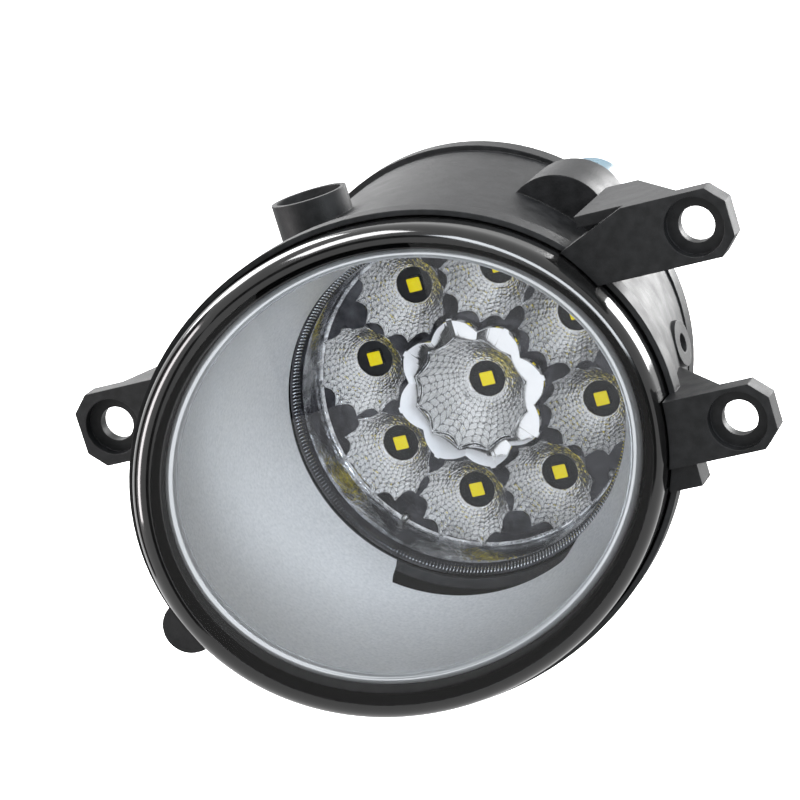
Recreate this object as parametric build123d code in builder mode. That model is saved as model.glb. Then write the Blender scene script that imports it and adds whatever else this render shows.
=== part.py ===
from build123d import *
from math import atan, cos, degrees, radians, sin
import os

# Round LED fog light with three mounting ears and a tilting lamp module.
# Frame: +Z up, the light shines towards -Y, +X is to the right seen from the front.
# Origin: the bore of the lower right ear, at the ear's rear face. All sizes in millimetres.
# "Depth" is measured rearwards (+Y) from the centre of the lens rim, and x and z sideways
# and up from the optical axis, which is parallel to Y.

LAMP_X, LAMP_Y, LAMP_Z = -64.2, -23.0, 9.0     # centre of the lens rim, seen from the origin
RIM_SLOPE = 0.43                                # depth gained per millimetre to the right
RIM_ANGLE = atan(RIM_SLOPE)

# lens
LENS_R = 50.0
LENS_WALL = 2.6
LENS_DOME_R = 200.0
LENS_RISE = 12.0                                # dome's height in front of the rim plane
LENS_EDGE_R = 4.5
LENS_SKIRT_END = 4.0

# housing
FLANGE_R = 51.4
FLANGE_FRONT, FLANGE_BACK = 2.2, 6.8
GROOVE_R, GROOVE_INNER_R, GROOVE_END = 50.3, 46.8, 5.0
MOUTH_R = 44.8                                  # inner wall of the lens groove
SHELF_BACK = 7.5
BODY_R, BODY_STRAIGHT_END = 49.4, 30.0
WALL = 2.4
REAR_R, REAR_DEPTH, REAR_X, REAR_Z = 44.1, 76.0, -2.1, 5.6
REAR_OPENING_R = 29.5
COLLAR_R, COLLAR_LENGTH = 45.3, 4.5
BLANK = 40.0                                    # how far blanks start in front of the rim

# ears: the bores' places from the optical axis, and the plates around them
EAR_BORES = {"right_lower": (64.2, -9.0), "right_upper": (66.6, 31.0), "left": (-67.6, 18.2)}
EAR_HALF_HEIGHTS = {"right_lower": 6.9, "right_upper": 7.1, "left": 8.0}
EAR_TIP, EAR_CHAMFER = 7.5, 3.5
EAR_FRONT, EAR_THICK = 17.8, 5.2
EAR_BORE_R, EAR_COUNTERBORE_R, EAR_COUNTERBORE_DEPTH = 3.7, 6.1, 2.4
EAR_START, EAR_NECK = 38.0, 13.5                # where a plate starts, and where it reaches full height
EAR_ROOT_DROPS = {"right_lower": 0.0, "right_upper": 6.2, "left": 0.0}
EAR_ROOT_X, EAR_ROOT_WIDTH, EAR_ROOT_FRONT, EAR_ROOT_DEPTH = 47.5, 18.0, 19.5, 9.5
GUSSET_THICK, GUSSET_BACK = 2.4, 46.0
GUSSET_SHOULDER, GUSSET_KNEE, GUSSET_FOOT = 3.0, 17.0, 24.0     # distances inwards from the bore
RIB_X, RIB_Z, RIB_SIZE, RIB_DEPTH = 49.5, -18.0, (7.0, 6.0), 7.0

# locating lug on the lower left of the flange
LUG_X, LUG_Z, LUG_FRONT, LUG_THICK = -48.3, -18.7, -15.5, 4.0
LUG_RADII, LUG_TURN = (6.2, 5.7), 20

# vent neck on top
NECK_X, NECK_DEPTH, NECK_TOP, NECK_FLOOR = -14.3, 30.0, 54.0, 48.4
NECK_R, NECK_WALL, VENT_HOLE_R = 8.0, 1.1, 2.5
NECK_ROOT, VENT_HOLE_DEPTH = 12.0, 14.0
MEMBRANE_R, MEMBRANE_THICK = 5.6, 0.5

# aim screw and its boss
SCREW_X, SCREW_Z = 31.2, 32.6
BOSS_R, BOSS_FRONT, BOSS_BACK = 11.5, 42.5, 58.0
POCKET_R, POCKET_FRONT, POCKET_BACK = 8.5, 44.0, 56.5
RECESS_R = 9.6
BITE_R = 12.2                                   # gap in the rear collar around the knob
JOURNAL_HOLE = 4.0
JOURNAL_R, JOURNAL_PLAY = 2.5, 0.05
THREAD_R, NUT_BORE_R = 2.0, 2.35
SCREW_TIP, SCREW_TAPER, SCREW_STEM = 45.0, 0.8, 5.0
SCREW_COLLAR_R, SCREW_COLLAR_FRONT, SCREW_COLLAR_GAP = 4.2, 55.3, 0.15
KNOB_R, KNOB_FRONT, KNOB_SHOULDER, KNOB_BACK = 8.7, 58.6, 67.0, 71.0
KNOB_ROUND = 0.8
CROWN_TEETH, CROWN_INNER_R, CROWN_GAP, CROWN_SLOPE, HEX_DRIVE = 12, 5.2, 2.2, 80, 5.0
SEAL_FRONT, SEAL_BACK, SEAL_R = 56.9, 57.6, 3.8

# bezel
BEZEL_R, BEZEL_LIP, BEZEL_WALL = 44.4, 1.7, 1.6
BEZEL_FRONT, LIP_LENGTH = 0.6, 1.2
BEZEL_END_R, BEZEL_END = 37.0, 38.3
BEZEL_LUG_FRONT, BEZEL_LUG_THICK, BEZEL_LUG_R = 30.5, 2.0, 43.4
BEZEL_LUG_ANGLES = (90, 215, 325)
BEZEL_LUG_LENGTH, BEZEL_LUG_WIDTH, BEZEL_LUG_INSET = 7.6, 6.0, 1.2
BEZEL_POST_LENGTH, BEZEL_POST_OFFSET, BEZEL_POST_DEPTH, BEZEL_PILOT = 7.2, 1.6, 6.0, 5.0
NOTCH_LEVEL, NOTCH_HEIGHT = -50.0, 30.0         # the notch is cut upwards through the bowl's lower wall
NOTCH_OUTLINE = ((-23.0, 45.0), (-21.8, 31.6), (-18.0, 30.2), (0.0, 31.6), (12.0, 33.8),
                 (17.5, 37.0), (19.0, 45.0))

# lamp module, centred a little off the optical axis
MODULE_X, MODULE_Z = -0.6, 1.06
PIVOT_DEPTH = 54.0
REFLECTOR_FRONT, REFLECTOR_R = 40.5, 38.0
CUP_PLANE, CUP_FLOOR, CUP_SHEET = 50.0, 62.4, 1.2
CUP_MOUTH_R, CUP_FLOOR_R = 11.2, 4.0
LED_RING_R, LED_COUNT, LED_FIRST_ANGLE = 25.65, 8, 22.5
LED_SIZE, LED_WINDOW, LED_HEIGHT, LED_WINDOW_DEPTH = 3.5, 3.0, 0.7, 0.15
BOARD_R, BOARD_FRONT, BOARD_THICK = 29.5, 63.0, 1.6
BOARD_SCREW_ANGLES, BOARD_POST_R, BOARD_PILOT = (0, 90, 180, 270), 2.2, 5.5
PAD_THICK, PLATE_THICK = 0.4, 2.5
MODULE_SCREW_R, MODULE_SCREW_HEAD_R, MODULE_SCREW_HEAD, MODULE_SCREW_RING = 1.2, 1.9, 1.4, 20.5
SCREW_CLEARANCE = 0.2
FIN_HEIGHT, FIN_THICK, FIN_PITCH, FIN_COUNT = 4.0, 1.2, MODULE_SCREW_RING / 4, 10
POST_RING, POST_R, POST_PILOT, POST_ANGLES = 34.4, 2.1, 4.0, (90, 225, 315)
CARRIER_R, CARRIER_WALL, CARRIER_FRONT, CARRIER_BACK = 40.6, 2.3, 40.8, 58.0
TAB_LENGTH, TAB_WIDTH, TAB_THICK, TAB_OFFSET = 9.0, 6.5, 2.0, 1.5
ARM_FRONT, ARM_THICK, ARM_END_R, ARM_LENGTH, ARM_WIDTH = 49.0, 2.0, 6.6, 6.0, 11.0
NUT_R, NUT_NECK_R, NUT_FLANGE, NUT_BEVEL, NUT_CLEARANCE = 5.4, 4.0, 1.5, 0.6, 0.4
PIN_R, PIN_PLAY, BUSH_R, BUSH_FLANGE_R, BUSH_FLANGE = 2.0, 0.05, 3.3, 4.6, 0.5
PIN_BOSS_R, PIN_BOSS_GAP, PIN_BOSS_LENGTH = 5.0, 0.7, 5.5
PIN_LENGTH, PIN_INNER_GAP, BUSH_SEAT = 8.2, 0.4, 0.25

# rear cover, driver and connector
COVER_R, COVER_PLATE, COVER_KNOB_GAP = 42.0, 2.5, 0.8
RIB_FIRST, RIB_LAST, RIB_STEP, RIB_THICK, RIB_RISE = 105, 320, 15, 1.0, 1.6
DOME_R, DOME_END, DOME_WALL = 31.5, 85.0, 1.8
GASKET_R, GASKET_WIDTH, GASKET_THICK = 30.4, 1.3, 1.0
COVER_SCREW_RING, COVER_SCREW_R, COVER_SCREW_ANGLES = 38.5, 1.25, (-50, 85, 155, 230)
COVER_HEAD_R, COVER_HEAD, COVER_SEAT_R, COVER_SEAT, COVER_POST_R = 2.6, 1.7, 3.4, 1.6, 3.1
COVER_POST, COVER_PILOT = 7.0, 8.0
DOME_ROUND = 2.5
DRIVER_R, DRIVER_FRONT, DRIVER_THICK = 26.5, 77.0, 1.6
DRIVER_NOTCH = (8.0, 5.0)
DRIVER_POSTS, DRIVER_POST_R, DRIVER_POST_INSET, DRIVER_POST_START = 3, 2.2, 3.5, 30
CHOKE_X, CHOKE_Z, CHOKE_R, CHOKE_HOLE_R, CHOKE_HEIGHT, CHOKE_ROUND = -12.0, 9.0, 5.2, 2.0, 4.0, 0.8
CAN_X, CAN_Z, CAN_R, CAN_HEIGHT, CAN_ROUND = 12.0, 12.0, 3.2, 4.3, 0.5
CHIP_Z, CHIP_SIZE, CHIP_HEIGHT, CHIP_BEVEL = -13.0, (6.5, 5.0), 1.5, 0.2
CONNECTOR_W, CONNECTOR_H, CONNECTOR_WALL, CONNECTOR_LENGTH = 21.0, 14.0, 1.6, 18.0
CONNECTOR_Z = 4.0
CONNECTOR_OPENING_INSET, CONNECTOR_PLAY = 4.0, 0.2
FOOT_W, FOOT_H, FOOT_THICK, SEAL_THICK = 32.0, 20.0, 2.2, 0.8
FOOT_SCREW_SPACING, FOOT_PAD_R, FOOT_PAD, FOOT_PILOT_R, FOOT_PILOT = 26.4, 2.6, 2.4, 1.0, 5.0
LATCH_SIZE, LATCH_BACK, LATCH_LENGTH, KEY_SIZE, KEY_X = (5.0, 2.0), 9.0, 5.0, (1.6, 1.4), 6.0
BLADE_RECESS = 5.0
BLADE_W, BLADE_T, BLADE_GAP = 0.8, 2.8, 7.0

FORWARD = (0, -1, 0)


def facing(depth, x=0.0, z=0.0):
    """Plane square to the optical axis, looking forward: local x is right, local y is up."""
    return Plane((LAMP_X + x, LAMP_Y + depth, LAMP_Z + z), x_dir=(1, 0, 0), z_dir=FORWARD)


def slanted(depth):
    """Plane parallel to the lens rim that meets the optical axis at this depth."""
    right = (cos(RIM_ANGLE), sin(RIM_ANGLE), 0)
    forward = (sin(RIM_ANGLE), -cos(RIM_ANGLE), 0)
    return Plane((LAMP_X, LAMP_Y + depth, LAMP_Z), x_dir=right, z_dir=forward)


def half_section(x=0.0, z=0.0):
    """Plane for turned profiles: local x is the radius and local y is the depth."""
    return Plane((LAMP_X + x, LAMP_Y, LAMP_Z + z), x_dir=(1, 0, 0), z_dir=(0, 0, 1))


def turning_axis(x=0.0, z=0.0):
    return Axis((LAMP_X + x, LAMP_Y, LAMP_Z + z), (0, 1, 0))


def across(x, depth, z):
    """Plane whose normal points to the right, for pins and bushes along X."""
    return Plane((LAMP_X + x, LAMP_Y + depth, LAMP_Z + z), x_dir=(0, 1, 0), z_dir=(1, 0, 0))


def level(height, x=0.0, depth=0.0):
    """Horizontal plane at this height above the optical axis."""
    return Plane((LAMP_X + x, LAMP_Y + depth, LAMP_Z + height))


def save(piece, name):
    piece.part.label = name
    export_step(piece.part, f"parts/{name}.step")


def rim_tube(outer, inner, front, back):
    """Tube along the optical axis with both ends parallel to the lens rim."""
    with BuildPart() as tube:
        with BuildSketch(facing(-BLANK)):
            Circle(outer)
            if inner:
                Circle(inner, mode=Mode.SUBTRACT)
        extrude(amount=-2 * BLANK)
        split(bisect_by=slanted(front), keep=Keep.BOTTOM)
        split(bisect_by=slanted(back), keep=Keep.TOP)
    return tube.part


def body_form(inset, front, back):
    """The housing's outer form, or its cavity when inset by the wall: a straight drum that
    narrows and climbs towards the back."""
    share = (back - BODY_STRAIGHT_END) / (REAR_DEPTH - BODY_STRAIGHT_END)
    end_r = BODY_R + (REAR_R - BODY_R) * share - inset
    with BuildPart() as form:
        with BuildSketch(facing(-BLANK)):
            Circle(BODY_R - inset)
        extrude(amount=-(BLANK + BODY_STRAIGHT_END))
        with BuildSketch(facing(BODY_STRAIGHT_END)):
            Circle(BODY_R - inset)
        with BuildSketch(facing(back, REAR_X * share, REAR_Z * share)):
            Circle(end_r)
        loft()
        split(bisect_by=slanted(front), keep=Keep.BOTTOM)
    return form.part


def dome_form(inset, back):
    """The lens's outer form, or its hollow when inset: a drum under a spherical dome with a
    rounded shoulder."""
    centre = slanted(0).offset(LENS_RISE - LENS_DOME_R).origin
    with BuildPart() as form:
        with BuildSketch(facing(-BLANK)):
            Circle(LENS_R - inset)
        extrude(amount=-2 * BLANK)
        split(bisect_by=slanted(back), keep=Keep.TOP)
        with Locations(centre):
            Sphere(LENS_DOME_R - inset, mode=Mode.INTERSECT)
        fillet(form.edges().sort_by(Axis.Y)[0], LENS_EDGE_R - inset / 2)
    return form.part


def on_module_ring(radius, angle):
    """A point on a ring about the lamp module's axis, as (x, z) from the optical axis."""
    return (MODULE_X + radius * cos(radians(angle)), MODULE_Z + radius * sin(radians(angle)))


# housing

def ear_outline(x, half_height, root_drop):
    """Plate with a chamfered end around an ear's bore, as points from the bore."""
    side = 1 if x > 0 else -1
    root = EAR_START * side - x
    tip = EAR_TIP * side
    shoulder = (EAR_TIP - EAR_CHAMFER) * side
    flat = half_height - EAR_CHAMFER
    return [(root, half_height - root_drop), (-EAR_NECK * side, half_height), (shoulder, half_height),
            (tip, flat), (tip, -flat), (shoulder, -half_height), (root, -half_height)]


def gusset_outline(x):
    """Triangular web behind an ear plate, from the plate's back to the housing's side."""
    side = 1 if x > 0 else -1
    start = EAR_FRONT + EAR_THICK / 2
    foot = x - GUSSET_FOOT * side
    return [(x, start), (x - GUSSET_SHOULDER * side, EAR_FRONT + EAR_THICK),
            (x - GUSSET_KNEE * side, GUSSET_BACK), (foot, GUSSET_BACK), (foot, start)]


def make_housing():
    outer = body_form(0.0, FLANGE_FRONT, REAR_DEPTH)
    flange = rim_tube(FLANGE_R, MOUTH_R, FLANGE_FRONT, FLANGE_BACK)
    cavity = body_form(WALL, SHELF_BACK, REAR_DEPTH - WALL)
    mouth = rim_tube(MOUTH_R, 0, 0, SHELF_BACK + 1)
    groove = rim_tube(GROOVE_R, GROOVE_INNER_R, 0, GROOVE_END)
    lens_room = rim_tube(GROOVE_R, 0, 5 - BLANK, FLANGE_FRONT)
    # bearing wall and knob recess, kept inside the body's outer form
    with BuildPart() as tunnel:
        with BuildSketch(facing(POCKET_BACK, SCREW_X, SCREW_Z)):
            Circle(BOSS_R)
        extrude(amount=POCKET_BACK - REAR_DEPTH)
        add(outer, mode=Mode.INTERSECT)

    with BuildPart() as housing:
        add(outer)
        add(flange)
        # collar around the rear edge
        with BuildSketch(facing(REAR_DEPTH, REAR_X, REAR_Z)):
            Circle(COLLAR_R)
            Circle(REAR_R - WALL, mode=Mode.SUBTRACT)
        extrude(amount=COLLAR_LENGTH)
        # boss around the aim screw, with room for the knob behind it
        with BuildSketch(facing(BOSS_FRONT, SCREW_X, SCREW_Z)):
            Circle(BOSS_R)
        extrude(amount=BOSS_FRONT - BOSS_BACK)
        # ears with their webs
        for side, (x, z) in EAR_BORES.items():
            half = EAR_HALF_HEIGHTS[side]
            drop = EAR_ROOT_DROPS[side]
            root_x = EAR_ROOT_X if x > 0 else -EAR_ROOT_X
            with BuildSketch(facing(EAR_FRONT, x, z)):
                Polygon(*ear_outline(x, half, drop), align=None)
            extrude(amount=-EAR_THICK)
            with BuildSketch(facing(EAR_ROOT_FRONT, root_x, z - drop / 2)):
                Rectangle(EAR_ROOT_WIDTH, 2 * half - drop - 1)
            extrude(amount=-EAR_ROOT_DEPTH)
            for height in (z + half - GUSSET_THICK, z - half):
                with BuildSketch(level(height)):
                    Polygon(*gusset_outline(x), align=None)
                extrude(amount=GUSSET_THICK)
        # small rib under the lower right ear
        with BuildSketch(facing(EAR_ROOT_FRONT, RIB_X, RIB_Z)):
            Rectangle(*RIB_SIZE)
        extrude(amount=-RIB_DEPTH)
        # locating lug on the lower left of the flange
        with BuildSketch(facing(LUG_FRONT, LUG_X, LUG_Z)):
            Ellipse(*LUG_RADII, rotation=LUG_TURN)
        extrude(amount=-LUG_THICK)
        # vent neck
        with BuildSketch(level(NECK_FLOOR - NECK_ROOT, NECK_X, NECK_DEPTH)):
            Circle(NECK_R)
        extrude(amount=NECK_TOP - NECK_FLOOR + NECK_ROOT)

        # hollows
        add(cavity, mode=Mode.SUBTRACT)
        add(mouth, mode=Mode.SUBTRACT)
        add(groove, mode=Mode.SUBTRACT)
        add(lens_room, mode=Mode.SUBTRACT)
        with BuildSketch(facing(POCKET_FRONT, SCREW_X, SCREW_Z)):
            Circle(POCKET_R)
        extrude(amount=POCKET_FRONT - POCKET_BACK, mode=Mode.SUBTRACT)
        with BuildSketch(facing(REAR_DEPTH + 1, REAR_X, REAR_Z)):
            Circle(REAR_OPENING_R)
        extrude(amount=WALL + 2, mode=Mode.SUBTRACT)
        with BuildSketch(level(NECK_TOP, NECK_X, NECK_DEPTH)):
            Circle(NECK_R - NECK_WALL)
        extrude(amount=NECK_FLOOR - NECK_TOP, mode=Mode.SUBTRACT)
        with BuildSketch(level(NECK_TOP, NECK_X, NECK_DEPTH)):
            Circle(VENT_HOLE_R)
        extrude(amount=-VENT_HOLE_DEPTH, mode=Mode.SUBTRACT)

        # the recess opens to the outside on its upper right
        add(tunnel)
        with BuildSketch(facing(BOSS_BACK, SCREW_X, SCREW_Z)):
            Circle(RECESS_R)
        extrude(amount=BOSS_BACK - REAR_DEPTH - 1, mode=Mode.SUBTRACT)
        with BuildSketch(facing(REAR_DEPTH, SCREW_X, SCREW_Z)):
            Circle(BITE_R)
        extrude(amount=-COLLAR_LENGTH, mode=Mode.SUBTRACT)
        with BuildSketch(facing(POCKET_BACK - 1, SCREW_X, SCREW_Z)):
            Circle(JOURNAL_R + JOURNAL_PLAY)
        extrude(amount=-JOURNAL_HOLE, mode=Mode.SUBTRACT)
        with BuildSketch(facing(SEAL_FRONT, SCREW_X, SCREW_Z)):
            Circle(SEAL_R)
        extrude(amount=SEAL_FRONT - SEAL_BACK, mode=Mode.SUBTRACT)

        # bosses for the pivot pins, one on each side
        for side in (1, -1):
            start = MODULE_X + side * (CARRIER_R + BUSH_FLANGE + PIN_BOSS_GAP)
            with BuildSketch(across(start, PIVOT_DEPTH, MODULE_Z)):
                Circle(PIN_BOSS_R)
            extrude(amount=side * PIN_BOSS_LENGTH)
            with BuildSketch(across(start, PIVOT_DEPTH, MODULE_Z)):
                Circle(PIN_R)
            extrude(amount=side * PIN_LENGTH, mode=Mode.SUBTRACT)
        # posts for the rear cover's screws
        with BuildSketch(facing(REAR_DEPTH - WALL - COVER_POST, REAR_X, REAR_Z)):
            for angle in COVER_SCREW_ANGLES:
                with Locations(Location((0, 0, 0), (0, 0, angle))):
                    with Locations((COVER_SCREW_RING, 0)):
                        Circle(COVER_POST_R)
        extrude(amount=-COVER_PILOT)
        with BuildSketch(facing(REAR_DEPTH, REAR_X, REAR_Z)):
            for angle in COVER_SCREW_ANGLES:
                with Locations(Location((0, 0, 0), (0, 0, angle))):
                    with Locations((COVER_SCREW_RING, 0)):
                        Circle(COVER_SCREW_R)
        extrude(amount=COVER_PILOT, mode=Mode.SUBTRACT)
        # posts that carry the bezel's lugs
        for angle in BEZEL_LUG_ANGLES:
            with BuildSketch(facing(BEZEL_LUG_FRONT + BEZEL_LUG_THICK)):
                with Locations(Location((0, 0, 0), (0, 0, angle))):
                    with Locations((BEZEL_LUG_R + BEZEL_POST_OFFSET, 0)):
                        Rectangle(BEZEL_POST_LENGTH, BEZEL_LUG_WIDTH)
            extrude(amount=-BEZEL_POST_DEPTH)
            with BuildSketch(facing(BEZEL_LUG_FRONT + BEZEL_LUG_THICK)):
                with Locations(Location((0, 0, 0), (0, 0, angle))):
                    with Locations((BEZEL_LUG_R, 0)):
                        Circle(MODULE_SCREW_R)
            extrude(amount=-BEZEL_PILOT, mode=Mode.SUBTRACT)
        # ear bores with counterbores for the bolt heads
        for x, z in EAR_BORES.values():
            with BuildSketch(facing(EAR_FRONT, x, z)):
                Circle(EAR_COUNTERBORE_R)
            extrude(amount=-EAR_COUNTERBORE_DEPTH, mode=Mode.SUBTRACT)
            with BuildSketch(facing(EAR_FRONT, x, z)):
                Circle(EAR_BORE_R)
            extrude(amount=-EAR_THICK, mode=Mode.SUBTRACT)
    save(housing, "housing")
    return housing


# pieces fixed to the housing

def turned(profile, x, z):
    """Solid of revolution about an axis parallel to the optical axis, from (radius, depth)
    points."""
    with BuildPart() as piece:
        with BuildSketch(half_section(x, z)):
            Polygon(*profile, align=None)
        revolve(axis=turning_axis(x, z))
    return piece


def screw_profile(shank_r, head_r, head_depth, head_height, tip_depth):
    """Pan-head screw as (radius, depth) points. The tip is behind the head or in front of it."""
    top = head_depth - head_height if tip_depth > head_depth else head_depth + head_height
    crown = (head_depth + top) / 2
    return [(0, top), (head_r * 0.7, top), (head_r, crown), (head_r, head_depth),
            (shank_r, head_depth), (shank_r, tip_depth), (0, tip_depth)]


def screw_set(places, profile):
    """Identical screws in one piece, at (x, z) places from the optical axis."""
    made = [turned(profile, x, z).part for x, z in places]
    with BuildPart() as screws:
        for screw in made:
            add(screw)
    return screws


def rear_point(radius, angle):
    """A point on a ring about the housing's rear opening, as (x, z) from the optical axis."""
    return (REAR_X + radius * cos(radians(angle)), REAR_Z + radius * sin(radians(angle)))


def make_lens():
    outer = dome_form(0.0, LENS_SKIRT_END)
    hollow = dome_form(LENS_WALL, LENS_SKIRT_END + 1)
    with BuildPart() as lens:
        add(outer)
        add(hollow, mode=Mode.SUBTRACT)
    save(lens, "lens")


def make_lens_sealant():
    bead = rim_tube(GROOVE_R - 0.05, GROOVE_INNER_R + 0.05, LENS_SKIRT_END, GROOVE_END)
    with BuildPart() as sealant:
        add(bead)
    save(sealant, "lens_sealant")


def bezel_bowl(outer_front, outer_back, back):
    """Tapered bowl form between the slanted rim and the lamp module's mouth."""
    with BuildPart() as bowl:
        with BuildSketch(slanted(BEZEL_FRONT + LIP_LENGTH)):
            Ellipse(outer_front / cos(RIM_ANGLE), outer_front)
        with BuildSketch(facing(back, MODULE_X, MODULE_Z)):
            Circle(outer_back)
        loft()
    return bowl.part


def make_bezel():
    outer = bezel_bowl(BEZEL_R, BEZEL_END_R + BEZEL_WALL, BEZEL_END)
    inner = bezel_bowl(BEZEL_R - BEZEL_LIP, BEZEL_END_R, BEZEL_END)
    lip = rim_tube(BEZEL_R, BEZEL_R - BEZEL_LIP, BEZEL_FRONT, BEZEL_FRONT + LIP_LENGTH)
    with BuildPart() as bezel:
        add(outer)
        # lugs for the screws
        with BuildSketch(facing(BEZEL_LUG_FRONT)):
            for angle in BEZEL_LUG_ANGLES:
                with Locations(Location((0, 0, 0), (0, 0, angle))):
                    with Locations((BEZEL_LUG_R - BEZEL_LUG_INSET, 0)):
                        Rectangle(BEZEL_LUG_LENGTH, BEZEL_LUG_WIDTH)
        extrude(amount=-BEZEL_LUG_THICK)
        add(inner, mode=Mode.SUBTRACT)
        add(lip)
        with BuildSketch(facing(BEZEL_LUG_FRONT)):
            for angle in BEZEL_LUG_ANGLES:
                with Locations(Location((0, 0, 0), (0, 0, angle))):
                    with Locations((BEZEL_LUG_R, 0)):
                        Circle(MODULE_SCREW_R + SCREW_CLEARANCE)
        extrude(amount=-BEZEL_LUG_THICK, mode=Mode.SUBTRACT)
        # notch in the lower wall, where the module swings
        with BuildSketch(level(NOTCH_LEVEL)):
            Polygon(*NOTCH_OUTLINE, align=None)
        extrude(amount=NOTCH_HEIGHT, mode=Mode.SUBTRACT)
    save(bezel, "bezel")


def make_bezel_screws():
    places = [(BEZEL_LUG_R * cos(radians(a)), BEZEL_LUG_R * sin(radians(a))) for a in BEZEL_LUG_ANGLES]
    tip = BEZEL_LUG_FRONT + BEZEL_LUG_THICK + BEZEL_PILOT - 1
    profile = screw_profile(MODULE_SCREW_R, MODULE_SCREW_HEAD_R, BEZEL_LUG_FRONT, MODULE_SCREW_HEAD, tip)
    save(screw_set(places, profile), "bezel_screws")


def make_vent_membrane():
    with BuildPart() as membrane:
        with BuildSketch(level(NECK_FLOOR, NECK_X, NECK_DEPTH)):
            Circle(MEMBRANE_R)
        extrude(amount=MEMBRANE_THICK)
    save(membrane, "vent_membrane")


def make_pivot_pins():
    with BuildPart() as pins:
        for side in (1, -1):
            start = MODULE_X + side * (CARRIER_R - CARRIER_WALL - PIN_INNER_GAP)
            with BuildSketch(across(start, PIVOT_DEPTH, MODULE_Z)):
                Circle(PIN_R)
            extrude(amount=side * PIN_LENGTH)
    save(pins, "pivot_pins")


def make_aim_screw_seal():
    inner = JOURNAL_R + JOURNAL_PLAY
    profile = [(inner, SEAL_FRONT), (SEAL_R, SEAL_FRONT), (SEAL_R, SEAL_BACK), (inner, SEAL_BACK)]
    save(turned(profile, SCREW_X, SCREW_Z), "aim_screw_seal")


# rear cover, driver, connector

def make_rear_cover():
    plate_back = REAR_DEPTH + COVER_PLATE
    inner_back = DOME_END - DOME_WALL
    with BuildPart() as cover:
        with BuildSketch(facing(REAR_DEPTH, REAR_X, REAR_Z)):
            Circle(COVER_R)
        extrude(amount=-COVER_PLATE)
        with BuildSketch(facing(plate_back, REAR_X, REAR_Z)):
            Circle(DOME_R)
        extrude(amount=plate_back - DOME_END)
        fillet(cover.edges().sort_by(Axis.Y)[-1], DOME_ROUND)
        with BuildSketch(facing(REAR_DEPTH, REAR_X, REAR_Z)):
            Circle(DOME_R - DOME_WALL)
        extrude(amount=REAR_DEPTH - inner_back, mode=Mode.SUBTRACT)
        # groove for the gasket
        with BuildSketch(facing(REAR_DEPTH, REAR_X, REAR_Z)):
            Circle(GASKET_R + GASKET_WIDTH)
            Circle(GASKET_R, mode=Mode.SUBTRACT)
        extrude(amount=-GASKET_THICK, mode=Mode.SUBTRACT)
        # room for the aim knob
        with BuildSketch(facing(REAR_DEPTH, SCREW_X, SCREW_Z)):
            Circle(RECESS_R + COVER_KNOB_GAP)
        extrude(amount=-COVER_PLATE, mode=Mode.SUBTRACT)
        # stiffening ribs on the plate
        with BuildSketch(facing(plate_back, REAR_X, REAR_Z)):
            for angle in range(RIB_FIRST, RIB_LAST, RIB_STEP):
                with Locations(Location((0, 0, 0), (0, 0, angle))):
                    with Locations(((DOME_R + COVER_R) / 2 - 1.5, 0)):
                        Rectangle(COVER_R - DOME_R - 1, RIB_THICK)
        extrude(amount=-RIB_RISE)
        # screw seats and holes
        with BuildSketch(facing(plate_back, REAR_X, REAR_Z)):
            for angle in COVER_SCREW_ANGLES:
                with Locations(Location((0, 0, 0), (0, 0, angle))):
                    with Locations((COVER_SCREW_RING, 0)):
                        Circle(COVER_SEAT_R)
        extrude(amount=-COVER_SEAT, mode=Mode.SUBTRACT)
        with BuildSketch(facing(REAR_DEPTH, REAR_X, REAR_Z)):
            for angle in COVER_SCREW_ANGLES:
                with Locations(Location((0, 0, 0), (0, 0, angle))):
                    with Locations((COVER_SCREW_RING, 0)):
                        Circle(COVER_SCREW_R + SCREW_CLEARANCE)
        extrude(amount=-COVER_PLATE, mode=Mode.SUBTRACT)
        # posts for the driver board
        with BuildSketch(facing(DRIVER_FRONT + DRIVER_THICK, REAR_X, REAR_Z)):
            with PolarLocations(DRIVER_R - DRIVER_POST_INSET, DRIVER_POSTS, start_angle=DRIVER_POST_START):
                Circle(DRIVER_POST_R)
        extrude(amount=DRIVER_FRONT + DRIVER_THICK - inner_back)
        # opening for the connector, with pads for its screws
        with BuildSketch(facing(inner_back - FOOT_PAD, REAR_X, CONNECTOR_Z)):
            with GridLocations(FOOT_SCREW_SPACING, 1, 2, 1):
                Circle(FOOT_PAD_R)
        extrude(amount=-FOOT_PAD)
        with BuildSketch(facing(inner_back - 1, REAR_X, CONNECTOR_Z)):
            RectangleRounded(CONNECTOR_W - CONNECTOR_OPENING_INSET,
                             CONNECTOR_H - CONNECTOR_OPENING_INSET, 1.5)
        extrude(amount=-(DOME_WALL + 2), mode=Mode.SUBTRACT)
        with BuildSketch(facing(inner_back - FOOT_PAD, REAR_X, CONNECTOR_Z)):
            with GridLocations(FOOT_SCREW_SPACING, 1, 2, 1):
                Circle(FOOT_PILOT_R)
        extrude(amount=-FOOT_PILOT, mode=Mode.SUBTRACT)
    save(cover, "rear_cover")


def make_rear_gasket():
    with BuildPart() as gasket:
        with BuildSketch(facing(REAR_DEPTH, REAR_X, REAR_Z)):
            Circle(GASKET_R + GASKET_WIDTH - 0.05)
            Circle(GASKET_R + 0.05, mode=Mode.SUBTRACT)
        extrude(amount=-GASKET_THICK)
    save(gasket, "rear_gasket")


def make_rear_cover_screws():
    places = [rear_point(COVER_SCREW_RING, angle) for angle in COVER_SCREW_ANGLES]
    head = REAR_DEPTH + COVER_PLATE
    tip = REAR_DEPTH - COVER_PILOT + 0.5
    profile = screw_profile(COVER_SCREW_R, COVER_HEAD_R, head, COVER_HEAD, tip)
    save(screw_set(places, profile), "rear_cover_screws")


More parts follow.
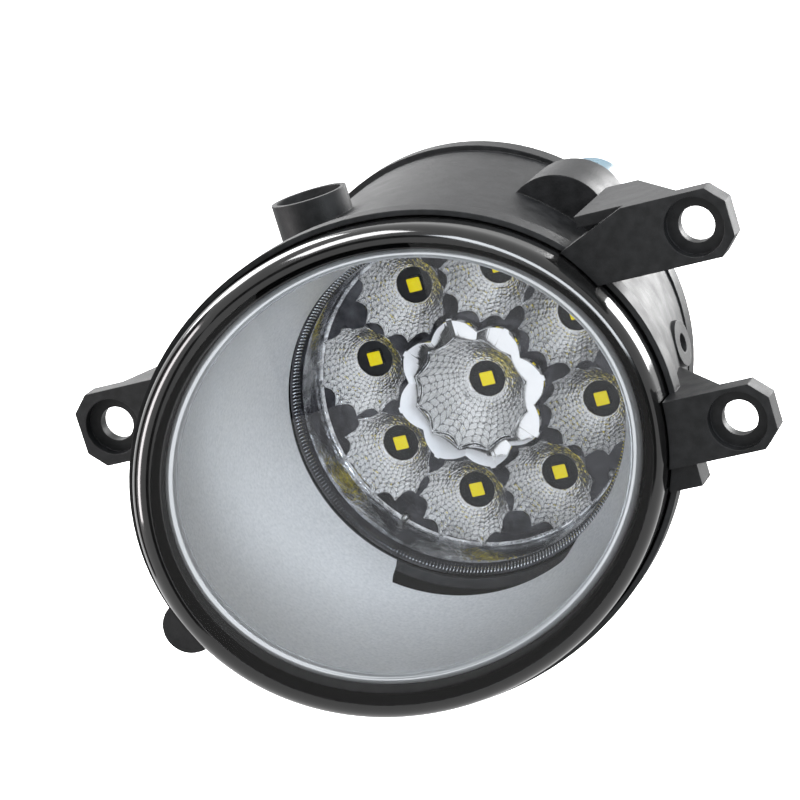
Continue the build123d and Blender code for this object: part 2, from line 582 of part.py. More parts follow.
def make_driver_board():
    with BuildPart() as board:
        with BuildSketch(facing(DRIVER_FRONT, REAR_X, REAR_Z)):
            Circle(DRIVER_R)
            with Locations((0, DRIVER_R)):
                Rectangle(*DRIVER_NOTCH, mode=Mode.SUBTRACT)
        extrude(amount=-DRIVER_THICK)
    save(board, "driver_board")


def make_driver_parts():
    back = DRIVER_FRONT + DRIVER_THICK
    with BuildPart() as choke:
        with BuildSketch(facing(back, REAR_X + CHOKE_X, REAR_Z + CHOKE_Z)):
            Circle(CHOKE_R)
            Circle(CHOKE_HOLE_R, mode=Mode.SUBTRACT)
        extrude(amount=-CHOKE_HEIGHT)
        fillet(choke.edges(), CHOKE_ROUND)
    save(choke, "driver_choke")
    with BuildPart() as capacitor:
        with BuildSketch(facing(back, REAR_X + CAN_X, REAR_Z + CAN_Z)):
            Circle(CAN_R)
        extrude(amount=-CAN_HEIGHT)
        fillet(capacitor.faces().sort_by(Axis.Y)[-1].edges(), CAN_ROUND)
    save(capacitor, "driver_capacitor")
    with BuildPart() as chip:
        with BuildSketch(facing(back, REAR_X, REAR_Z + CHIP_Z)):
            Rectangle(*CHIP_SIZE)
        extrude(amount=-CHIP_HEIGHT)
        chamfer(chip.faces().sort_by(Axis.Y)[-1].edges(), CHIP_BEVEL)
    save(chip, "driver_chip")


def blade_sketch():
    with GridLocations(BLADE_GAP, 1, 2, 1):
        Rectangle(BLADE_W, BLADE_T)


def make_connector():
    foot_front = DOME_END + SEAL_THICK
    foot_back = foot_front + FOOT_THICK
    end = foot_back + CONNECTOR_LENGTH
    spigot_front = DOME_END - DOME_WALL
    with BuildPart() as shell:
        with BuildSketch(facing(foot_front, REAR_X, CONNECTOR_Z)):
            RectangleRounded(FOOT_W, FOOT_H, 3.0)
        extrude(amount=-FOOT_THICK)
        with BuildSketch(facing(spigot_front, REAR_X, CONNECTOR_Z)):
            RectangleRounded(CONNECTOR_W - CONNECTOR_OPENING_INSET - CONNECTOR_PLAY,
                             CONNECTOR_H - CONNECTOR_OPENING_INSET - CONNECTOR_PLAY, 1.4)
        extrude(amount=spigot_front - foot_front)
        with BuildSketch(facing(foot_back, REAR_X, CONNECTOR_Z)):
            RectangleRounded(CONNECTOR_W, CONNECTOR_H, 2.5)
            RectangleRounded(CONNECTOR_W - 2 * CONNECTOR_WALL, CONNECTOR_H - 2 * CONNECTOR_WALL, 1.2,
                             mode=Mode.SUBTRACT)
        extrude(amount=-CONNECTOR_LENGTH)
        # ramp that the plug's latch snaps over, and two keys underneath
        with BuildSketch(facing(end - LATCH_BACK, REAR_X, CONNECTOR_Z)):
            with Locations((0, CONNECTOR_H / 2 + 0.8)):
                Rectangle(*LATCH_SIZE)
            with Locations((-KEY_X, -CONNECTOR_H / 2 - 0.5), (KEY_X, -CONNECTOR_H / 2 - 0.5)):
                Rectangle(*KEY_SIZE)
        extrude(amount=-LATCH_LENGTH)
        with BuildSketch(facing(foot_front, REAR_X, CONNECTOR_Z)):
            with GridLocations(FOOT_SCREW_SPACING, 1, 2, 1):
                Circle(FOOT_PILOT_R + SCREW_CLEARANCE)
        extrude(amount=-FOOT_THICK, mode=Mode.SUBTRACT)
        with BuildSketch(facing(spigot_front, REAR_X, CONNECTOR_Z)):
            blade_sketch()
        extrude(amount=spigot_front - foot_back, mode=Mode.SUBTRACT)
    save(shell, "connector_shell")

    with BuildPart() as seal:
        with BuildSketch(facing(DOME_END, REAR_X, CONNECTOR_Z)):
            RectangleRounded(FOOT_W - 9.2, FOOT_H - 3, 2.0)
            RectangleRounded(CONNECTOR_W - CONNECTOR_OPENING_INSET, CONNECTOR_H - CONNECTOR_OPENING_INSET,
                             1.5, mode=Mode.SUBTRACT)
        extrude(amount=-SEAL_THICK)
    save(seal, "connector_seal")

    with BuildPart() as blades:
        with BuildSketch(facing(DRIVER_FRONT + DRIVER_THICK, REAR_X, CONNECTOR_Z)):
            blade_sketch()
        extrude(amount=-(end - BLADE_RECESS - DRIVER_FRONT - DRIVER_THICK))
    save(blades, "connector_terminals")

    half = FOOT_SCREW_SPACING / 2
    places = [(REAR_X - half, CONNECTOR_Z), (REAR_X + half, CONNECTOR_Z)]
    tip = DOME_END - DOME_WALL - 2
    profile = screw_profile(FOOT_PILOT_R, MODULE_SCREW_HEAD_R, foot_back, MODULE_SCREW_HEAD, tip)
    save(screw_set(places, profile), "connector_screws")


# tilting lamp module

def cup_places():
    """The LEDs' places from the optical axis: one in the middle and a ring around it."""
    step = 360 / LED_COUNT
    ring = [on_module_ring(LED_RING_R, LED_FIRST_ANGLE + step * i) for i in range(LED_COUNT)]
    return [(MODULE_X, MODULE_Z)] + ring


def make_reflector():
    floor = CUP_PLANE + CUP_SHEET
    depth = CUP_FLOOR - CUP_PLANE
    profile = [(0, CUP_PLANE), (REFLECTOR_R - 1.6, CUP_PLANE), (REFLECTOR_R - 1.1, REFLECTOR_FRONT + 0.8),
               (REFLECTOR_R - 0.6, REFLECTOR_FRONT), (REFLECTOR_R, REFLECTOR_FRONT),
               (REFLECTOR_R, floor), (0, floor)]
    dish = turned(profile, MODULE_X, MODULE_Z).part
    with BuildPart() as reflector:
        add(dish)
        for x, z in cup_places():
            with Locations(facing(CUP_FLOOR, x, z)):
                Cone(CUP_FLOOR_R + CUP_SHEET, CUP_MOUTH_R + CUP_SHEET, depth,
                     align=(Align.CENTER, Align.CENTER, Align.MIN))
        # posts that take the screws from behind
        with BuildSketch(facing(floor)):
            for angle in POST_ANGLES:
                with Locations(on_module_ring(POST_RING, angle)):
                    Circle(POST_R)
        extrude(amount=floor - (CARRIER_BACK - TAB_THICK))
        with BuildSketch(facing(floor)):
            for angle in BOARD_SCREW_ANGLES:
                with Locations(on_module_ring(MODULE_SCREW_RING, angle)):
                    Circle(BOARD_POST_R)
        extrude(amount=floor - BOARD_FRONT)
        for x, z in cup_places():
            with Locations(facing(CUP_FLOOR, x, z)):
                Cone(CUP_FLOOR_R, CUP_MOUTH_R, depth, mode=Mode.SUBTRACT,
                     align=(Align.CENTER, Align.CENTER, Align.MIN))
        with BuildSketch(facing(CARRIER_BACK - TAB_THICK)):
            for angle in POST_ANGLES:
                with Locations(on_module_ring(POST_RING, angle)):
                    Circle(MODULE_SCREW_R)
        extrude(amount=POST_PILOT, mode=Mode.SUBTRACT)
        with BuildSketch(facing(BOARD_FRONT)):
            for angle in BOARD_SCREW_ANGLES:
                with Locations(on_module_ring(MODULE_SCREW_RING, angle)):
                    Circle(MODULE_SCREW_R)
        extrude(amount=BOARD_PILOT, mode=Mode.SUBTRACT)
    save(reflector, "reflector")


def module_disc(radius, front, thickness, name):
    """Disc of the module's stack, with clearance holes for the four long screws."""
    with BuildPart() as disc:
        with BuildSketch(facing(front, MODULE_X, MODULE_Z)):
            Circle(radius)
            with PolarLocations(MODULE_SCREW_RING, len(BOARD_SCREW_ANGLES)):
                Circle(MODULE_SCREW_R + SCREW_CLEARANCE, mode=Mode.SUBTRACT)
        extrude(amount=-thickness)
    save(disc, name)


def make_leds():
    for number, (x, z) in enumerate(cup_places(), start=1):
        with BuildPart() as led:
            with BuildSketch(facing(BOARD_FRONT, x, z)):
                Rectangle(LED_SIZE, LED_SIZE)
            extrude(amount=LED_HEIGHT)
            with BuildSketch(facing(BOARD_FRONT - LED_HEIGHT, x, z)):
                Rectangle(LED_WINDOW, LED_WINDOW)
            extrude(amount=-LED_WINDOW_DEPTH, mode=Mode.SUBTRACT)
        save(led, f"led_{number}")


def make_heat_sink():
    front = BOARD_FRONT + BOARD_THICK + PAD_THICK
    with BuildPart() as sink:
        with BuildSketch(facing(front, MODULE_X, MODULE_Z)):
            Circle(BOARD_R)
        extrude(amount=-PLATE_THICK)
        with BuildSketch(facing(front + PLATE_THICK, MODULE_X, MODULE_Z)):
            with GridLocations(FIN_PITCH, 1, FIN_COUNT, 1):
                Rectangle(FIN_THICK, 2 * BOARD_R)
            Circle(BOARD_R - 0.5, mode=Mode.INTERSECT)
        extrude(amount=-FIN_HEIGHT)
        with BuildSketch(facing(front, MODULE_X, MODULE_Z)):
            with PolarLocations(MODULE_SCREW_RING, len(BOARD_SCREW_ANGLES)):
                Circle(MODULE_SCREW_R + SCREW_CLEARANCE)
        extrude(amount=-PLATE_THICK, mode=Mode.SUBTRACT)
    save(sink, "heat_sink")


def make_module_screws():
    sink_back = BOARD_FRONT + BOARD_THICK + PAD_THICK + PLATE_THICK
    places = [on_module_ring(MODULE_SCREW_RING, angle) for angle in BOARD_SCREW_ANGLES]
    tip = BOARD_FRONT - BOARD_PILOT + 0.5
    profile = screw_profile(MODULE_SCREW_R, MODULE_SCREW_HEAD_R, sink_back, MODULE_SCREW_HEAD, tip)
    save(screw_set(places, profile), "heat_sink_screws")
    places = [on_module_ring(POST_RING, angle) for angle in POST_ANGLES]
    tip = CARRIER_BACK - TAB_THICK - POST_PILOT + 0.5
    profile = screw_profile(MODULE_SCREW_R, MODULE_SCREW_HEAD_R, CARRIER_BACK, MODULE_SCREW_HEAD, tip)
    save(screw_set(places, profile), "reflector_screws")


def make_module_carrier():
    arm_angle = degrees(atan((SCREW_Z - MODULE_Z) / (SCREW_X - MODULE_X)))
    with BuildPart() as carrier:
        with BuildSketch(facing(CARRIER_FRONT, MODULE_X, MODULE_Z)):
            Circle(CARRIER_R)
            Circle(CARRIER_R - CARRIER_WALL, mode=Mode.SUBTRACT)
        extrude(amount=CARRIER_FRONT - CARRIER_BACK)
        # tabs behind the reflector's posts
        with BuildSketch(facing(CARRIER_BACK - TAB_THICK, MODULE_X, MODULE_Z)):
            for angle in POST_ANGLES:
                with Locations(Location((0, 0, 0), (0, 0, angle))):
                    with Locations((POST_RING + TAB_OFFSET, 0)):
                        Rectangle(TAB_LENGTH, TAB_WIDTH)
        extrude(amount=-TAB_THICK)
        with BuildSketch(facing(CARRIER_BACK - TAB_THICK, MODULE_X, MODULE_Z)):
            for angle in POST_ANGLES:
                with Locations(Location((0, 0, 0), (0, 0, angle))):
                    with Locations((POST_RING, 0)):
                        Circle(MODULE_SCREW_R + SCREW_CLEARANCE)
        extrude(amount=-TAB_THICK, mode=Mode.SUBTRACT)
        # clear of the aim screw's bearing wall
        with BuildSketch(facing(PIVOT_DEPTH, SCREW_X, SCREW_Z)):
            Circle(BOSS_R + 1.5)
        extrude(amount=-6, mode=Mode.SUBTRACT)
        # clear of the aim nut's flanges
        with BuildSketch(facing(CARRIER_FRONT, SCREW_X, SCREW_Z)):
            Circle(NUT_R + NUT_CLEARANCE)
        extrude(amount=CARRIER_FRONT - CARRIER_BACK, mode=Mode.SUBTRACT)
        # arm that holds the aim nut
        with BuildSketch(facing(ARM_FRONT, SCREW_X, SCREW_Z)):
            Circle(ARM_END_R)
            with Locations(Location((0, 0, 0), (0, 0, arm_angle))):
                with Locations((-ARM_LENGTH / 2, 0)):
                    Rectangle(ARM_LENGTH, ARM_WIDTH)
            Circle(NUT_NECK_R, mode=Mode.SUBTRACT)
        extrude(amount=-ARM_THICK)
        # seats for the pivot bushes
        for side in (1, -1):
            start = MODULE_X + side * (CARRIER_R - CARRIER_WALL - 0.3)
            with BuildSketch(across(start, PIVOT_DEPTH, MODULE_Z)):
                Circle(BUSH_R)
            extrude(amount=side * (CARRIER_WALL + 2), mode=Mode.SUBTRACT)
            with BuildSketch(across(MODULE_X + side * (CARRIER_R - BUSH_SEAT), PIVOT_DEPTH, MODULE_Z)):
                Circle(BUSH_FLANGE_R)
            extrude(amount=side * 1, mode=Mode.SUBTRACT)
    save(carrier, "module_carrier")


def make_pivot_bushes():
    with BuildPart() as bushes:
        for side in (1, -1):
            seat = MODULE_X + side * (CARRIER_R - BUSH_SEAT)
            with BuildSketch(across(seat, PIVOT_DEPTH, MODULE_Z)):
                Circle(BUSH_R)
            extrude(amount=-side * (CARRIER_WALL - BUSH_SEAT))
            with BuildSketch(across(seat, PIVOT_DEPTH, MODULE_Z)):
                Circle(BUSH_FLANGE_R)
            extrude(amount=side * BUSH_FLANGE)
            with BuildSketch(across(seat - side * 3, PIVOT_DEPTH, MODULE_Z)):
                Circle(PIN_R + PIN_PLAY)
            extrude(amount=side * 5, mode=Mode.SUBTRACT)
    save(bushes, "pivot_bushes")


def make_aim_nut():
    front, back = ARM_FRONT - NUT_FLANGE, ARM_FRONT + ARM_THICK + NUT_FLANGE
    bevel_r = NUT_R - NUT_BEVEL
    neck_back = ARM_FRONT + ARM_THICK
    profile = [(NUT_BORE_R, front), (bevel_r, front), (NUT_R, front + NUT_BEVEL), (NUT_R, ARM_FRONT),
               (NUT_NECK_R, ARM_FRONT), (NUT_NECK_R, neck_back), (NUT_R, neck_back),
               (NUT_R, back - NUT_BEVEL), (bevel_r, back), (NUT_BORE_R, back)]
    save(turned(profile, SCREW_X, SCREW_Z), "aim_nut")


# aim screw and knob

def make_aim_screw():
    collar_back = POCKET_BACK - SCREW_COLLAR_GAP
    stem_end = KNOB_FRONT + SCREW_STEM
    profile = [(0, SCREW_TIP), (THREAD_R - SCREW_TAPER, SCREW_TIP), (THREAD_R, SCREW_TIP + SCREW_TAPER),
               (THREAD_R, SCREW_COLLAR_FRONT), (SCREW_COLLAR_R, SCREW_COLLAR_FRONT),
               (SCREW_COLLAR_R, collar_back), (JOURNAL_R, collar_back), (JOURNAL_R, stem_end), (0, stem_end)]
    save(turned(profile, SCREW_X, SCREW_Z), "aim_screw")


def make_aim_knob():
    """Nylon drive: a smooth drum with bevelled crown teeth behind it and a hexagon socket."""
    with BuildPart() as knob:
        with BuildSketch(facing(KNOB_FRONT, SCREW_X, SCREW_Z)):
            Circle(KNOB_R)
        extrude(amount=KNOB_FRONT - KNOB_BACK)
        fillet(knob.faces().sort_by(Axis.Y)[0].edges(), KNOB_ROUND)
        with BuildSketch(facing(KNOB_SHOULDER, SCREW_X, SCREW_Z)):
            with PolarLocations((KNOB_R + CROWN_INNER_R) / 2, CROWN_TEETH):
                Trapezoid(KNOB_R - CROWN_INNER_R + 1, CROWN_GAP, CROWN_SLOPE, rotation=90)
        extrude(amount=KNOB_SHOULDER - KNOB_BACK, mode=Mode.SUBTRACT)
        with BuildSketch(facing(KNOB_SHOULDER, SCREW_X, SCREW_Z)):
            RegularPolygon(HEX_DRIVE / 2, 6, major_radius=False)
        extrude(amount=KNOB_SHOULDER - KNOB_BACK, mode=Mode.SUBTRACT)
        with BuildSketch(facing(KNOB_FRONT, SCREW_X, SCREW_Z)):
            Circle(JOURNAL_R)
        extrude(amount=-SCREW_STEM, mode=Mode.SUBTRACT)
    save(knob, "aim_knob")


os.makedirs("parts", exist_ok=True)
make_housing()
make_lens()
make_lens_sealant()
make_bezel()
make_bezel_screws()
make_vent_membrane()
make_pivot_pins()
make_aim_screw_seal()
make_rear_cover()
make_rear_gasket()
make_rear_cover_screws()
make_driver_board()
make_driver_parts()
make_connector()
make_reflector()
module_disc(BOARD_R, BOARD_FRONT, BOARD_THICK, "led_board")
module_disc(BOARD_R - 1, BOARD_FRONT + BOARD_THICK, PAD_THICK, "thermal_pad")
make_leds()
make_heat_sink()
make_module_screws()
make_module_carrier()
make_pivot_bushes()
make_aim_nut()
make_aim_screw()
make_aim_knob()
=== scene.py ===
import math
import random

import bmesh
import bpy
from mathutils import Matrix, Vector


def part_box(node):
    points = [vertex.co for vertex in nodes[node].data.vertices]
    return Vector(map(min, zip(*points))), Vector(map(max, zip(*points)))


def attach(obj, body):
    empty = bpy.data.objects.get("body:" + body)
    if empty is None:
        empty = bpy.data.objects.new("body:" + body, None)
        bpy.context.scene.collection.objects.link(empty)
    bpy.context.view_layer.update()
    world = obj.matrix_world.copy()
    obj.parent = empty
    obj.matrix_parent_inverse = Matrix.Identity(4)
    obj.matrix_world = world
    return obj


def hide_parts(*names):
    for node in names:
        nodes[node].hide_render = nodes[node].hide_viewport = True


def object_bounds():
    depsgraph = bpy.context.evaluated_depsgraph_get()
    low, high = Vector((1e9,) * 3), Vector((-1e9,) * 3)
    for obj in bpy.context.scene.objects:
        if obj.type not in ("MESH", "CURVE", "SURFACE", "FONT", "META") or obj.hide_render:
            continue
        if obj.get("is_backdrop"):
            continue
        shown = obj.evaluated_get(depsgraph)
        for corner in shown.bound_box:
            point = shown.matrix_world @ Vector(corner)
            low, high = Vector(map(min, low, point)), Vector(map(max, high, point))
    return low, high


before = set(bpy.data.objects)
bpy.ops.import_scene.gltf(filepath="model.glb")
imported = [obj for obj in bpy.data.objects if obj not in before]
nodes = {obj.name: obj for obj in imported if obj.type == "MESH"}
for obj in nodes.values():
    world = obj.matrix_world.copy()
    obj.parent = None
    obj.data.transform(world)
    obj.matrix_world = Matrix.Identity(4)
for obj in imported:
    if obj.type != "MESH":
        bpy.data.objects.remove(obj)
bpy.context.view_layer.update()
print("frame loaded,", len(nodes), "nodes")

mm = 0.001
lamp = {
    "rimSlope": 0.43,      # how far the rim falls back for each millimetre to the right
    "skirtEnd": 4.0,       # rear edge of the lens, behind the plane of the rim
    "mainBody": "lamp_housing",
    "moduleBody": "led_module",
}
lensLow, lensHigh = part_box("lens")
lensRadius = (lensHigh.x - lensLow.x) / 2 / mm
axisX = (lensLow.x + lensHigh.x) / 2
axisZ = (lensLow.z + lensHigh.z) / 2
rimY = lensHigh.y - (lamp["rimSlope"] * lensRadius + lamp["skirtEnd"]) * mm


def place(x, depth, z):
    # millimetres right of, behind and above the centre of the lens rim
    return Vector((axisX + x * mm, rimY + depth * mm, axisZ + z * mm))


def lampSize(node):
    # a node's box as (low, high) in millimetres from the centre of the lens rim
    low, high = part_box(node)
    start = place(0, 0, 0)
    return (low - start) / mm, (high - start) / mm


reflectorLow, reflectorHigh = lampSize("reflector")
moduleX = (reflectorLow.x + reflectorHigh.x) / 2
moduleZ = (reflectorLow.z + reflectorHigh.z) / 2


# meshes

def ringSolid(shape, rings, wrap=True):
    # joins closed rings of points into a skin; a ring of one point is a pole
    rows = [[shape.verts.new(point) for point in ring] for ring in rings]
    pairs = list(zip(rows, rows[1:]))
    if wrap:
        pairs.append((rows[-1], rows[0]))
    faces = []
    for first, second in pairs:
        count = max(len(first), len(second))
        for i in range(count):
            j = (i + 1) % count
            if len(first) == 1:
                corners = (first[0], second[i], second[j])
            elif len(second) == 1:
                corners = (first[j], first[i], second[0])
            else:
                corners = (first[i], second[i], second[j], first[j])
            faces.append(shape.faces.new(corners))
    bmesh.ops.recalc_face_normals(shape, faces=faces)


def makePiece(name, shape, finish, sharp=40):
    # sharp is the angle in degrees past which an edge is not smoothed
    mesh = bpy.data.meshes.new(name)
    shape.to_mesh(mesh)
    shape.free()
    mesh.shade_smooth()
    mesh.set_sharp_from_angle(angle=math.radians(sharp))
    mesh.materials.append(finish)
    piece = bpy.data.objects.new(name, mesh)
    bpy.context.scene.collection.objects.link(piece)
    return piece


def turn(count):
    # even steps of one full turn, in radians
    return [2 * math.pi * i / count for i in range(count)]


def smoothStep(low, high, value):
    share = min(1.0, max(0.0, (value - low) / (high - low)))
    return share * share * (3 - 2 * share)


# materials

def newFinish(name, **sockets):
    # a Principled material with its sockets set, as (material, node tree, shader)
    material = bpy.data.materials.new(name)
    material.use_nodes = True
    shader = material.node_tree.nodes["Principled BSDF"]
    for socket, value in sockets.items():
        shader.inputs[socket].default_value = value
    return material, material.node_tree, shader


def addNode(tree, kind, **settings):
    # a setting is an input where the node has one by that name, else a property
    node = tree.nodes.new(kind)
    for name, value in settings.items():
        if name in node.inputs:
            node.inputs[name].default_value = value
        else:
            setattr(node, name, value)
    return node


def objectPattern(tree, stretch=(1, 1, 1)):
    # Object coordinates in metres, stretched where a pattern has a direction
    where = addNode(tree, "ShaderNodeTexCoord")
    mapping = addNode(tree, "ShaderNodeMapping")
    mapping.inputs["Scale"].default_value = stretch
    tree.links.new(where.outputs["Object"], mapping.inputs["Vector"])
    return mapping.outputs["Vector"]


def noiseOf(tree, vector, size, detail=3.0, roughness=0.5):
    # size is the width of one blotch in millimetres
    node = addNode(tree, "ShaderNodeTexNoise", Scale=1 / (size * mm), Detail=detail,
                   Roughness=roughness)
    tree.links.new(vector, node.inputs["Vector"])
    return node.outputs["Fac"]


def ramp(tree, source, stops, socket):
    # stops are (position, colour) pairs
    node = addNode(tree, "ShaderNodeValToRGB")
    elements = node.color_ramp.elements
    while len(elements) < len(stops):
        elements.new(0.5)
    for element, (position, colour) in zip(elements, stops):
        element.position = position
        element.color = (*colour, 1.0)
    tree.links.new(source, node.inputs["Fac"])
    tree.links.new(node.outputs["Color"], socket)


noiseRange = (0.3, 0.7)    # most of a noise texture's values lie between these


def spread(tree, source, low, high, socket):
    # widens a noise texture's usual range to low and high
    node = addNode(tree, "ShaderNodeMapRange")
    node.inputs["From Min"].default_value = noiseRange[0]
    node.inputs["From Max"].default_value = noiseRange[1]
    node.inputs["To Min"].default_value = low
    node.inputs["To Max"].default_value = high
    tree.links.new(source, node.inputs["Value"])
    tree.links.new(node.outputs["Result"], socket)


def bump(tree, shader, source, height, edge=0.0):
    # height is in millimetres; edge rounds sharp corners by that radius
    node = addNode(tree, "ShaderNodeBump", Strength=1.0, Distance=height * mm)
    tree.links.new(source, node.inputs["Height"])
    if edge:
        rounded = addNode(tree, "ShaderNodeBevel", samples=4)
        rounded.inputs["Radius"].default_value = edge * mm
        tree.links.new(rounded.outputs["Normal"], node.inputs["Normal"])
    tree.links.new(node.outputs["Normal"], shader.inputs["Normal"])


plasticBlotch, polishBlotch = 2.5, 5.0    # widths in millimetres


def mouldedPlastic(name, dark, light, roughness, grain, height, edge=0.35, coat=0.0):
    # grain, height and edge are in millimetres
    material, tree, shader = newFinish(name, **{"Coat Weight": coat, "Coat Roughness": 0.12,
                                                "Specular IOR Level": 0.3})
    where = objectPattern(tree)
    ramp(tree, noiseOf(tree, where, plasticBlotch, 4.0), [(0.35, dark), (0.7, light)],
         shader.inputs["Base Color"])
    spread(tree, noiseOf(tree, where, polishBlotch), *roughness, shader.inputs["Roughness"])
    bump(tree, shader, noiseOf(tree, where, grain, 2.0, 0.6), height, edge)
    return material


def metal(name, colour, shade, roughness, size, height, stretch=(1, 1, 1), edge=0.2,
          metallic=1.0):
    # size, height and edge are in millimetres; the colour changes over three times the size
    material, tree, shader = newFinish(name, Metallic=metallic)
    where = objectPattern(tree, stretch)
    ramp(tree, noiseOf(tree, where, size * 3), [(0.3, shade), (0.7, colour)],
         shader.inputs["Base Color"])
    spread(tree, noiseOf(tree, where, size), *roughness, shader.inputs["Roughness"])
    bump(tree, shader, noiseOf(tree, where, size), height, edge)
    return material


def plated(name, colour, shade, roughness, size, height, metallic=1.0):
    # a bright coat on a mesh whose edges are rounded already
    return metal(name, colour, shade, roughness, size, height, edge=0.0, metallic=metallic)


def satinCoat(name, colour, shade, roughness, size, height):
    # vapour-coated plastic: part mirror, part matt
    return plated(name, colour, shade, roughness, size, height, metallic=0.6)


def clearPlastic(name, ior=1.3, tint=(0.98, 0.99, 1.0)):
    # light passes straight through; the polish reflects by Fresnel
    material = bpy.data.materials.new(name)
    material.use_nodes = True
    tree = material.node_tree
    tree.nodes.remove(tree.nodes["Principled BSDF"])
    through = addNode(tree, "ShaderNodeBsdfTransparent", Color=(*tint, 1.0))
    polish = addNode(tree, "ShaderNodeBsdfGlossy", Color=(1, 1, 1, 1), Roughness=0.015)
    edgeOn = addNode(tree, "ShaderNodeFresnel", IOR=ior)
    mix = addNode(tree, "ShaderNodeMixShader")
    tree.links.new(edgeOn.outputs["Fac"], mix.inputs["Fac"])
    tree.links.new(through.outputs["BSDF"], mix.inputs[1])
    tree.links.new(polish.outputs["BSDF"], mix.inputs[2])
    tree.links.new(mix.outputs["Shader"], tree.nodes["Material Output"].inputs["Surface"])
    return material


finishes = {
    "housing": mouldedPlastic("housingPlastic", (0.004, 0.0045, 0.005), (0.011, 0.0115, 0.0125),
                              (0.42, 0.56), 0.28, 0.05),
    "carrier": mouldedPlastic("carrierPlastic", (0.045, 0.046, 0.05), (0.07, 0.071, 0.076),
                              (0.4, 0.5), 0.3, 0.02),
    "connector": mouldedPlastic("connectorPlastic", (0.008, 0.008, 0.009), (0.018, 0.018, 0.02),
                                (0.3, 0.42), 0.35, 0.02),
    "rubber": mouldedPlastic("blackRubber", (0.006, 0.006, 0.006), (0.014, 0.014, 0.014),
                             (0.6, 0.75), 0.4, 0.02),
    "sealant": mouldedPlastic("blackSealant", (0.003, 0.003, 0.003), (0.006, 0.006, 0.006),
                              (0.15, 0.25), 1.5, 0.03, edge=0.0),
    "acetal": mouldedPlastic("naturalAcetal", (0.72, 0.72, 0.68), (0.82, 0.82, 0.79),
                             (0.28, 0.36), 0.5, 0.01),
    "board": mouldedPlastic("blackBoard", (0.018, 0.019, 0.022), (0.03, 0.031, 0.035),
                            (0.3, 0.4), 0.5, 0.01, edge=0.0),
    "driver": mouldedPlastic("greenBoard", (0.01, 0.09, 0.035), (0.015, 0.14, 0.05),
                             (0.22, 0.32), 0.5, 0.01),
    "ferrite": mouldedPlastic("darkFerrite", (0.03, 0.03, 0.032), (0.06, 0.06, 0.063),
                              (0.5, 0.65), 0.3, 0.03),
    "epoxy": mouldedPlastic("chipEpoxy", (0.008, 0.008, 0.008), (0.015, 0.015, 0.015),
                            (0.45, 0.55), 0.2, 0.01, edge=0.1),
    "pad": mouldedPlastic("greyPad", (0.2, 0.21, 0.22), (0.3, 0.31, 0.32), (0.7, 0.8), 0.4, 0.02),
    "membrane": mouldedPlastic("whiteMembrane", (0.75, 0.75, 0.74), (0.86, 0.86, 0.85),
                               (0.8, 0.9), 0.15, 0.03),
    "steel": metal("zincSteel", (0.68, 0.68, 0.66), (0.5, 0.5, 0.49), (0.25, 0.38), 0.6, 0.004),
    "tin": metal("tinPlate", (0.8, 0.8, 0.79), (0.66, 0.66, 0.65), (0.2, 0.3), 0.8, 0.004),
    "sink": metal("extrudedAluminium", (0.82, 0.82, 0.84), (0.68, 0.68, 0.7),
                  (0.3, 0.45), 0.8, 0.006, stretch=(1, 1, 0.06)),
    "can": metal("drawnCan", (0.84, 0.84, 0.85), (0.74, 0.74, 0.75), (0.18, 0.28), 0.5, 0.003),
    "silver": satinCoat("satinSilver", (0.98, 0.98, 0.985), (0.82, 0.83, 0.84),
                        (0.36, 0.46), 0.22, 0.026),
    "chrome": plated("mirrorChrome", (0.93, 0.94, 0.95), (0.86, 0.87, 0.89),
                     (0.02, 0.06), 1.6, 0.006),
    "lip": satinCoat("polishedLip", (0.95, 0.96, 0.97), (0.9, 0.91, 0.92),
                     (0.1, 0.18), 3.0, 0.004),
    "lens": clearPlastic("clearLens"),
    "blackPrint": mouldedPlastic("blackPrint", (0.002, 0.002, 0.002), (0.004, 0.004, 0.004),
                                 (0.05, 0.1), 9.0, 0.004, edge=0.0, coat=0.7),
    "plateau": plated("satinChrome", (0.98, 0.98, 0.99), (0.94, 0.94, 0.96),
                      (0.05, 0.1), 1.2, 0.002),
    "wall": plated("rippledChrome", (0.8, 0.81, 0.83), (0.25, 0.25, 0.26),
                   (0.04, 0.1), 0.9, 0.16),
    # painted dark reflection: the wells and a band of the outer wall are coloured dark where the
    # chrome reflects dark surroundings
    "well": plated("paintedDarkReflection", (0.1, 0.1, 0.11), (0.04, 0.04, 0.045),
                   (0.12, 0.25), 1.2, 0.006),
}


def blueNylon():
    material, tree, shader = newFinish("blueNylon", Roughness=0.3, IOR=1.53)
    shader.inputs["Subsurface Weight"].default_value = 0.3
    shader.inputs["Subsurface Radius"].default_value = (0.002, 0.004, 0.006)
    where = objectPattern(tree)
    ramp(tree, noiseOf(tree, where, 6.0), [(0.35, (0.05, 0.1, 0.135)), (0.7, (0.08, 0.145, 0.185))],
         shader.inputs["Base Color"])
    spread(tree, noiseOf(tree, where, 1.5), 0.25, 0.36, shader.inputs["Roughness"])
    bump(tree, shader, noiseOf(tree, where, 0.8), 0.01, edge=0.3)
    return material


def phosphor():
    material, tree, shader = newFinish("yellowPhosphor", Roughness=0.4)
    where = objectPattern(tree)
    ramp(tree, noiseOf(tree, where, 0.12, 2.0),
         [(0.3, (0.80, 0.62, 0.0)), (0.7, (1.0, 0.84, 0.01))], shader.inputs["Base Color"])
    # painted glow: the unlit phosphor gives off a little light so that it stays bright yellow in
    # shade
    shader.inputs["Emission Color"].default_value = (1.0, 0.82, 0.0, 1.0)
    shader.inputs["Emission Strength"].default_value = 0.3
    bump(tree, shader, noiseOf(tree, where, 0.1, 2.0), 0.01)
    return material


